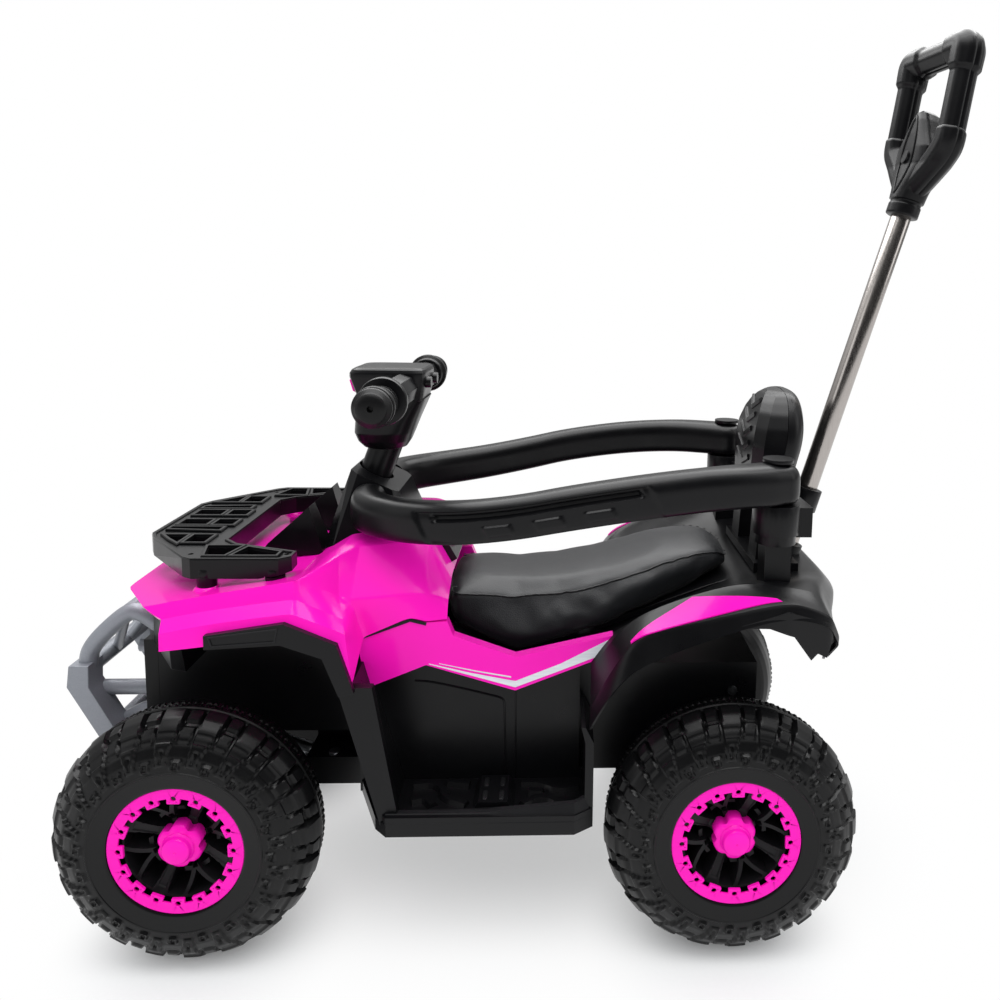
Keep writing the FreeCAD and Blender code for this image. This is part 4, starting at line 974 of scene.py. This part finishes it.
def applyModifiers(piece):
    # the evaluated mesh takes the place of the piece's own
    depsgraph = bpy.context.evaluated_depsgraph_get()
    made = bpy.data.meshes.new_from_object(piece.evaluated_get(depsgraph))
    piece.modifiers.clear()
    piece.data = made


def slopedSides(points):
    # from 48 mm under the solid's upper edge upwards the sides lean in and lift until they meet the sewn
    # edge; the crown above it is pressed to under half its height and the front end is drawn up to the tank
    x, y, z = points.T
    half, edge = (np.interp(x, seatStations[:, 0], seatStations[:, k]) for k in (1, 2))
    newHalf, newEdge = (np.interp(x, seatSewn[:, 0], seatSewn[:, k]) for k in (1, 2))
    rise = np.clip((z - edge + seat["lean"]) / seat["lean"], 0, 1)
    rise = rise * rise * (3 - 2 * rise)
    ahead = np.interp(x, [241, 264], [10, 0])
    pressed = z - seat["press"] * np.maximum(z - edge, 0)
    return np.stack([x - ahead, y * (1 + (newHalf / half - 1) * rise), pressed + (newEdge - edge) * rise], 1)


solid = nodes["seat_cushion"].data
cover = mergedMesh("seatCushion", pointsOf(solid), [list(f.vertices) for f in solid.polygons], 2e-5)
cushion = bpy.data.objects.new("seatCushion", cover)
scene.collection.objects.link(cushion)
remesh = cushion.modifiers.new("remesh", "REMESH")
remesh.mode = "VOXEL"
remesh.voxel_size = seat["voxel"]
applyModifiers(cushion)
normals = np.zeros(len(cushion.data.vertices) * 3)
cushion.data.vertices.foreach_get("normal", normals)
rest = pointsOf(cushion.data) - normals.reshape(-1, 3) * seat["shrink"]
rest = toFrame(slopedSides(toBike(rest)))
cushion.data.vertices.foreach_set("co", rest.astype(np.float32).ravel())
cushion.data.update()
cloth = cushion.modifiers.new("cloth", "CLOTH")
cloth.settings.use_pressure = True
cloth.settings.uniform_pressure_force = seat["pressure"]
cloth.settings.effector_weights.gravity = 0.0
cloth.settings.tension_stiffness = seat["tension"]
cloth.settings.bending_stiffness = seat["bending"]
for step in range(1, seat["frames"] + 1):
    scene.frame_set(step)
applyModifiers(cushion)
scene.frame_set(1)
moved = pointsOf(cushion.data) - rest
size = np.linalg.norm(moved, axis=1, keepdims=True)
rest = rest + moved * np.minimum(1, seat["cap"] / np.maximum(size, 1e-9))
# the sewn seam draws the cover in and down along its edge, by exp(-(distance / seamReach) ** 2)
bikePoints = toBike(rest)
seamHalf, seamHeight = (np.interp(bikePoints[:, 0], seatSewn[:, 0], seatSewn[:, k]) for k in (1, 2))
away = np.hypot(np.abs(bikePoints[:, 1]) - seamHalf, bikePoints[:, 2] - seamHeight)
drawn = np.exp(-(away / seat["seamReach"]) ** 2)
bikePoints[:, 1] -= np.sign(bikePoints[:, 1]) * seat["seamIn"] * drawn
bikePoints[:, 2] -= seat["seamDown"] * drawn
cushion.data.vertices.foreach_set("co", toFrame(bikePoints).astype(np.float32).ravel())
cushion.data.update()
cushion.data.materials.clear()
cushion.data.materials.append(leatherette)
taut = cushion.modifiers.new("taut", "SMOOTH")
taut.factor = 0.5
taut.iterations = 8
smooth = cushion.modifiers.new("subdivision", "SUBSURF")
smooth.levels = smooth.render_levels = 1
cushion.data.shade_smooth()
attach(cushion, "chassis")
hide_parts("seat_cushion")


def seamLine():
    # up the right edge of the stations, round the back, down the left edge and round the front
    right = np.stack([seatSewn[:, 0], seatSewn[:, 1] - 1.0, seatSewn[:, 2] - 1.0], 1)
    right[0, 0] -= 6
    back = np.array([(542, 20, 230), (543.5, 0, 229), (542, -20, 230)])
    front = np.array([(234, -40, 203), (233.4, 0, 203), (234, 40, 203)])
    return np.concatenate([right, back, mirrorY(right)[::-1], front])


def onCover(path):
    # seam points drawn onto the cover: the mean of the cover's points near each, weighed by
    # exp(-(distance / 4 mm) ** 2), then lifted a little outwards
    near = bikePoints[away < 16]
    gap = np.linalg.norm(path[:, None] - near[None], axis=2)
    weight = np.exp(-(gap / 4.0) ** 2) + 1e-9
    return (weight @ near / weight.sum(1, keepdims=True)
            + np.stack([np.zeros(len(path)), 0.5 * np.tanh(path[:, 1] / 20), np.full(len(path), 0.7)], 1))


seamPath = roundPath(seamLine(), 3, closed=True)
seamPath, seamRun = evenPath(np.concatenate([seamPath, seamPath[:1]]), 420)
seamPath = onCover(seamPath[:-1])
welt = sweep(np.concatenate([seamPath[-1:], seamPath, seamPath[:1]]), circle(0.7, 8), (0, 0, 1))[1:-1]
makePiece("seatWelt", hoop(welt), "chassis", leatherette, 60)
print("seat made")

# Side panel: a dark bar along the top edge, painted shade of the gap under the hood, and a silver foil
# stripe that widens towards the low corner
panelFoil = {"face": 124.0, "lift": 0.5, "hoodGapShade": [(153, 175.4), (204, 194.6), (219.6, 190.6)],
             "low": [(222, 149.0), (262, 137.6), (307, 124.6), (350, 141.2), (394, 158.6)],
             "high": [(222, 149.6), (262, 140.0), (307, 131.0), (352, 149.0), (400, 174.0)],
             "thinLow": [(232, 149.4), (268, 141.2), (303, 134.6)],
             "thinHigh": [(232, 149.9), (268, 142.2), (303, 136.0)]}


def ribbon(low, high, face, lift, count=40):
    # a thin plate between two (x, z) lines on the plane y = face, lift thick
    a, _ = evenPath(np.array(low, float), count)
    b, _ = evenPath(np.array(high, float), count)
    inner = np.stack([np.stack([p[:, 0], np.full(count, y), p[:, 1]], 1)
                      for p, y in ((a, face - 0.3), (a, face + lift), (b, face + lift), (b, face - 0.3))], 1)
    return solidSweep(inner)


def border(line, half, face, lift):
    # a flat bar of the given half width along an (x, z) line on the plane y = face
    path = np.array([(x, face + lift / 2, z) for x, z in line], float)
    path, _ = evenPath(path, 40)
    return solidSweep(sweep(path, [(-lift, -half), (lift, -half), (lift, half), (-lift, half)], (0, 0, 1)))


stripes = joinGrids([ribbon(panelFoil[low], panelFoil[high], panelFoil["face"], panelFoil["lift"])
                     for low, high in (("low", "high"), ("thinLow", "thinHigh"))])
# painted shade: a dark bar in place of the shaded gap under the hood's lower edge
hoodGapShade = border(panelFoil["hoodGapShade"], 1.5, panelFoil["face"], 0.6)
makePairs(("sideStripe", stripes, "chassis", silverFoil, "pink_plastic", 30),
          ("sideLine", hoodGapShade, "chassis", paintedSheenPlastic, "black_plastic", 30))
print("side panels dressed")

# Footwells: raised lines on the wall, ridges on the floor, a sloping lip on the sill and slots in the pad
footwell = {"wall": 112.0, "floor": 20.0,
            "wallLine": [(206, 126), (224, 125), (290, 108.5), (294.5, 106), (296, 101), (297, 26)],
            "crease": [(307, 117), (307.4, 22)],
            "ridges": [[(206, 124), (226, 122), (236, 131), (240, 146), (262, 157)],
                       [(208, 150), (222, 146), (230, 158)], [(240, 120), (262, 124)],
                       [(314, 122), (336, 124), (350, 134), (371, 130)],
                       [(316, 158), (330, 146), (346, 150), (356, 162)], [(322, 136), (336, 138)]],
            "ridge": [(-6.0, -0.6), (6.0, -0.6), (3.0, 4.2), (-3.0, 4.2)],
            "slots": [(x, y, 2.4, 7.5, 29.5, 30.9) for x in (280, 296) for y in (134, 155)],
            "lip": [(189, 0.8), (230, 0.8), (284, 1.2), (296, 3.0), (330, 6.0), (366, 9.0), (380, 10.5)],
            "lipFace": [(184.3, 21.0), (178.5, 27.0), (173.0, 27.0), (170.0, 23.0)],
            "lipEdge": (366, 384, 12.0),
            "cornerPost": (374, 107.6, 4.0, 4.4, 10.0, 30.0)}


def ridgeGrid(line):
    # a low bar with sloping sides along an (x, y) line on the floor
    path = np.array([(x, y, footwell["floor"]) for x, y in line], float)
    path, _ = evenPath(roundPath(path, 1), 30)
    return solidSweep(sweep(path, footwell["ridge"], (0, 0, 1)))


def slotBar(x, y, halfX, halfY, low, high):
    # a rounded upright bar: a superellipse ring at three heights, the top one drawn in
    u, v = ovalRing(np.linspace(0, 2 * np.pi, 24, endpoint=False), 4)
    rows = [(1.0, low), (1.0, high - 0.4), (0.8, high)]
    rings = [np.stack([x + halfX * g * u, y + halfY * g * v, np.full(24, h)], 1) for g, h in rows]
    return solidSweep(np.stack(rings))


def wallBar(line, half):
    # a half-round bead along an (x, z) line on the footwell wall
    path = np.array([(x, footwell["wall"], z) for x, z in line], float)
    path, _ = evenPath(roundPath(path, 2), 60)
    return solidSweep(sweep(path, circle(half, 8), (0, 1, 0)))


def lipGrid():
    # the lip's section at each station, its top raised there and drawn in along the sill's cut corner
    x, rise = np.array(footwell["lip"], float).T
    face = np.array(footwell["lipFace"], float)
    low, high, depth = footwell["lipEdge"]
    inward = np.clip((x - low) / (high - low), 0, 1) * depth
    top = np.array([0.0, 1.0, 1.0, 0.0])
    grid = np.stack([np.broadcast_to(x[:, None], (len(x), 4)), face[None, :, 0] - inward[:, None],
                     face[None, :, 1] + rise[:, None] * top[None]], 2)
    return solidSweep(grid)


bars = [wallBar(footwell["wallLine"], 1.1), wallBar(footwell["crease"], 0.9),
        slotBar(*footwell["cornerPost"])]
bars += [ridgeGrid(line) for line in footwell["ridges"]]
# painted sheen: the sill lips take the lighter copy of the black plastic
makePairs(("sillLip", lipGrid(), "chassis", paintedSheenPlastic, "black_plastic", 20),
          ("footwellRelief", joinGrids(bars), "chassis", blackPlastic, "black_plastic", 30))
# painted sheen: the pad slots take the lighter copy of the black plastic
points, faces = joinGrids([slotBar(*place) for place in footwell["slots"]])
makePiece("padSlots", (mirrorY(points), faces), "chassis", paintedSheenPlastic, 40)
print("footwells dressed")

# Seat stitches: short thread stitches on both sides of the piping
stitch = {"pitch": 5.2, "length": 3.4, "radius": 0.45, "offset": 3.4}


def stitchGrid():
    # a six-sided bar for each stitch, lying along the seam at its offset, all worked out as one array
    count = int(seamRun[-1] / stitch["pitch"])
    path, _ = evenPath(np.concatenate([seamPath, seamPath[:1]]), count)
    along = np.gradient(path, axis=0)
    along /= np.linalg.norm(along, axis=1, keepdims=True)
    inward = np.stack([-along[:, 1], along[:, 0], np.zeros(count)], 1)
    middle = path + inward * stitch["offset"] + np.array([0, 0, 0.5])
    up = np.cross(along, inward)
    hexagon = circle(stitch["radius"], 6)
    ends = np.array([-0.5, -0.35, 0.35, 0.5]) * stitch["length"]
    fat = np.array([0.3, 1, 1, 0.3])
    ring = (hexagon[None, None, :, :1] * inward[:, None, None]
            + hexagon[None, None, :, 1:] * up[:, None, None])
    spine = middle[:, None, None] + ends[None, :, None, None] * along[:, None, None]
    return spine + fat[None, :, None, None] * ring


shape = joinGrids([solidSweep(one) for one in stitchGrid()])
makePiece("seatStitches", shape, "chassis", gripRubber, 50)
print("seat stitched")

# Floor, light and camera
stage = {"floor": 14.0, "oval": (0.56, 0.25), "middle": (0.055, 0, 0), "feet": (0.26, 0.153, 0)}


def combine(tree, kind, first, second):
    # one sum of two sockets
    return addNode(tree, "ShaderNodeMath", links={0: first, 1: second}, operation=kind).outputs[0]


def vector(tree, kind, source, output, other=(0, 0, 0)):
    # one vector sum of a socket and a constant
    return addNode(tree, "ShaderNodeVectorMath", {1: other}, {0: source}, operation=kind).outputs[output]


def rays(tree):
    # the camera's own rays, and those together with the rays off shiny and through clear surfaces
    sight = addNode(tree, "ShaderNodeLightPath").outputs
    shiny = combine(tree, "MAXIMUM", sight["Is Glossy Ray"], sight["Is Transmission Ray"])
    return sight["Is Camera Ray"], combine(tree, "MAXIMUM", sight["Is Camera Ray"], shiny)


# Seamless paper: matt white; a share of plain white glow is given to the rays that look at it, little at the
# tyres' feet and all of it beyond an oval round the object, so that the ground meets the backdrop without a
# line and still takes the shadow. Near the object the glow is painted light: it lifts the floor's shadow,
# leaving it dark only at the tyres' feet
def makePaper():
    paper = bpy.data.materials.new("seamlessPaper")
    tree = emptyTree(paper)
    _, seen = rays(tree)
    ground = addNode(tree, "ShaderNodeTexCoord").outputs["Object"]
    oval = vector(tree, "MULTIPLY", ground, "Vector", (1 / stage["oval"][0], 1 / stage["oval"][1], 0))
    away = vector(tree, "LENGTH", oval, "Value")
    spread = ranged(tree, away, 0.45, 1.0, 0.2, 1.05, interpolation_type="SMOOTHSTEP")
    folded = vector(tree, "ABSOLUTE", vector(tree, "ADD", ground, "Vector", stage["middle"]), "Vector")
    foot = vector(tree, "DISTANCE", folded, "Value", stage["feet"])
    clear = ranged(tree, foot, 0.12, 1.0, 0.03, 0.15, interpolation_type="SMOOTHSTEP")
    # painted light: the glow lifts the floor's shadow under the object by about half, and hardly at the
    # tyres' feet
    weight = combine(tree, "MULTIPLY", seen, combine(tree, "MULTIPLY", spread, clear))
    pulp = blend(tree, ("#eeeeee", "#f3f3f3"), noise(tree, 4, 2.0, ground))
    matt = addNode(tree, "ShaderNodeBsdfDiffuse", links={"Color": pulp})
    glow = addNode(tree, "ShaderNodeEmission", {"Color": (1, 1, 1, 1), "Strength": 1.0})
    both = addNode(tree, "ShaderNodeMixShader", links={0: weight, 1: matt.outputs[0], 2: glow.outputs[0]})
    addNode(tree, "ShaderNodeOutputMaterial", links={"Surface": both.outputs[0]})
    return paper


reach = stage["floor"]
floorMesh = bpy.data.meshes.new("studioFloor")
floorMesh.from_pydata([(-reach, -reach, 0), (reach, -reach, 0), (reach, reach, 0), (-reach, reach, 0)], [],
                      [[0, 1, 2, 3]])
floorMesh.materials.append(makePaper())
floor = bpy.data.objects.new("studioFloor", floorMesh)
scene.collection.objects.link(floor)


# Studio: white to the camera everywhere; a shiny surface meets white paper beyond the object and overhead,
# falling to the dark room behind the camera
def makeWorld():
    world = bpy.data.worlds.new("studio")
    tree = emptyTree(world)
    own, seen = rays(tree)
    coords = addNode(tree, "ShaderNodeTexCoord")
    way = addNode(tree, "ShaderNodeSeparateXYZ", links={0: coords.outputs["Generated"]})
    room = ranged(tree, way.outputs["Y"], 0.05, 1.0, -0.75, 0.35)
    rise = ranged(tree, way.outputs["Z"], 0.25, 1.0, 0.05, 0.5)
    level = combine(tree, "MAXIMUM", own, combine(tree, "MULTIPLY", room, rise))
    dim = addNode(tree, "ShaderNodeBackground", {"Color": (0.96, 0.98, 1.0, 1), "Strength": 0.84})
    white = addNode(tree, "ShaderNodeBackground", {"Color": (1, 1, 1, 1)}, {"Strength": level})
    mixed = addNode(tree, "ShaderNodeMixShader", links={0: seen, 1: dim.outputs[0], 2: white.outputs[0]})
    addNode(tree, "ShaderNodeOutputWorld", links={"Surface": mixed.outputs[0]})
    return world


scene.world = makeWorld()


def addLamp(name, kind, place, target, energy, **settings):
    # a lamp at place that looks at target
    lamp = bpy.data.lights.new(name, kind)
    lamp.energy = energy
    for key, value in settings.items():
        setattr(lamp, key, value)
    holder = bpy.data.objects.new(name, lamp)
    holder.location = place
    holder.rotation_euler = (Vector(target) - Vector(place)).to_track_quat("-Z", "Y").to_euler()
    scene.collection.objects.link(holder)
    return holder


addLamp("skyLight", "SUN", (0.2, -0.8, 3.0), (0, 0, 0.2), 0.7, angle=math.radians(70))
for name, place, target, energy, size in (("topBox", (-0.1, -0.7, 2.4), (0.0, 0.0, 0.35), 16, (1.7, 0.9)),
                                          ("leftBox", (-2.2, -0.9, 1.3), (-0.1, 0.0, 0.35), 4, (0.8, 1.6)),
                                          ("rightBox", (2.2, -0.7, 1.4), (0.1, 0.0, 0.4), 7, (0.8, 1.6)),
                                          ("overBox", (0.1, 0.6, 2.2), (0.0, 0.0, 0.3), 115, (3.4, 2.2))):
    lamp = addLamp(name, "AREA", place, target, energy, shape="RECTANGLE", size=size[0], size_y=size[1])
    # the big one overhead only shows as a reflection
    lamp.visible_diffuse = name != "overBox"

# Camera: place, turn and lens fitted to the wheels and edges of the photograph
view = {"place": (0.0285, -0.8911, 0.6413), "yaw": 2.63, "pitch": 6.81, "roll": -0.95, "focal": 808.5,
        "middle": (592.0, 389.0), "frame": 1000.0, "sensor": 36.0}
yaw, pitch, roll = (math.radians(view[k]) for k in ("yaw", "pitch", "roll"))
ahead = Vector((math.sin(yaw) * math.cos(pitch), math.cos(yaw) * math.cos(pitch), -math.sin(pitch)))
level = Vector((math.cos(yaw), -math.sin(yaw), 0))
down = ahead.cross(level)
right = math.cos(roll) * level + math.sin(roll) * down
below = -math.sin(roll) * level + math.cos(roll) * down
lens = bpy.data.cameras.new("camera")
lens.sensor_width = view["sensor"]
lens.lens = view["focal"] * view["sensor"] / view["frame"]
lens.shift_x = (view["frame"] / 2 - view["middle"][0]) / view["frame"]
lens.shift_y = (view["middle"][1] - view["frame"] / 2) / view["frame"]
camera = bpy.data.objects.new("camera", lens)
turn = Matrix((right, -below, -ahead)).transposed()
camera.matrix_world = Matrix.Translation(view["place"]) @ turn.to_4x4()
scene.collection.objects.link(camera)
scene.camera = camera
scene.view_settings.view_transform = "Standard"
print("stage set")
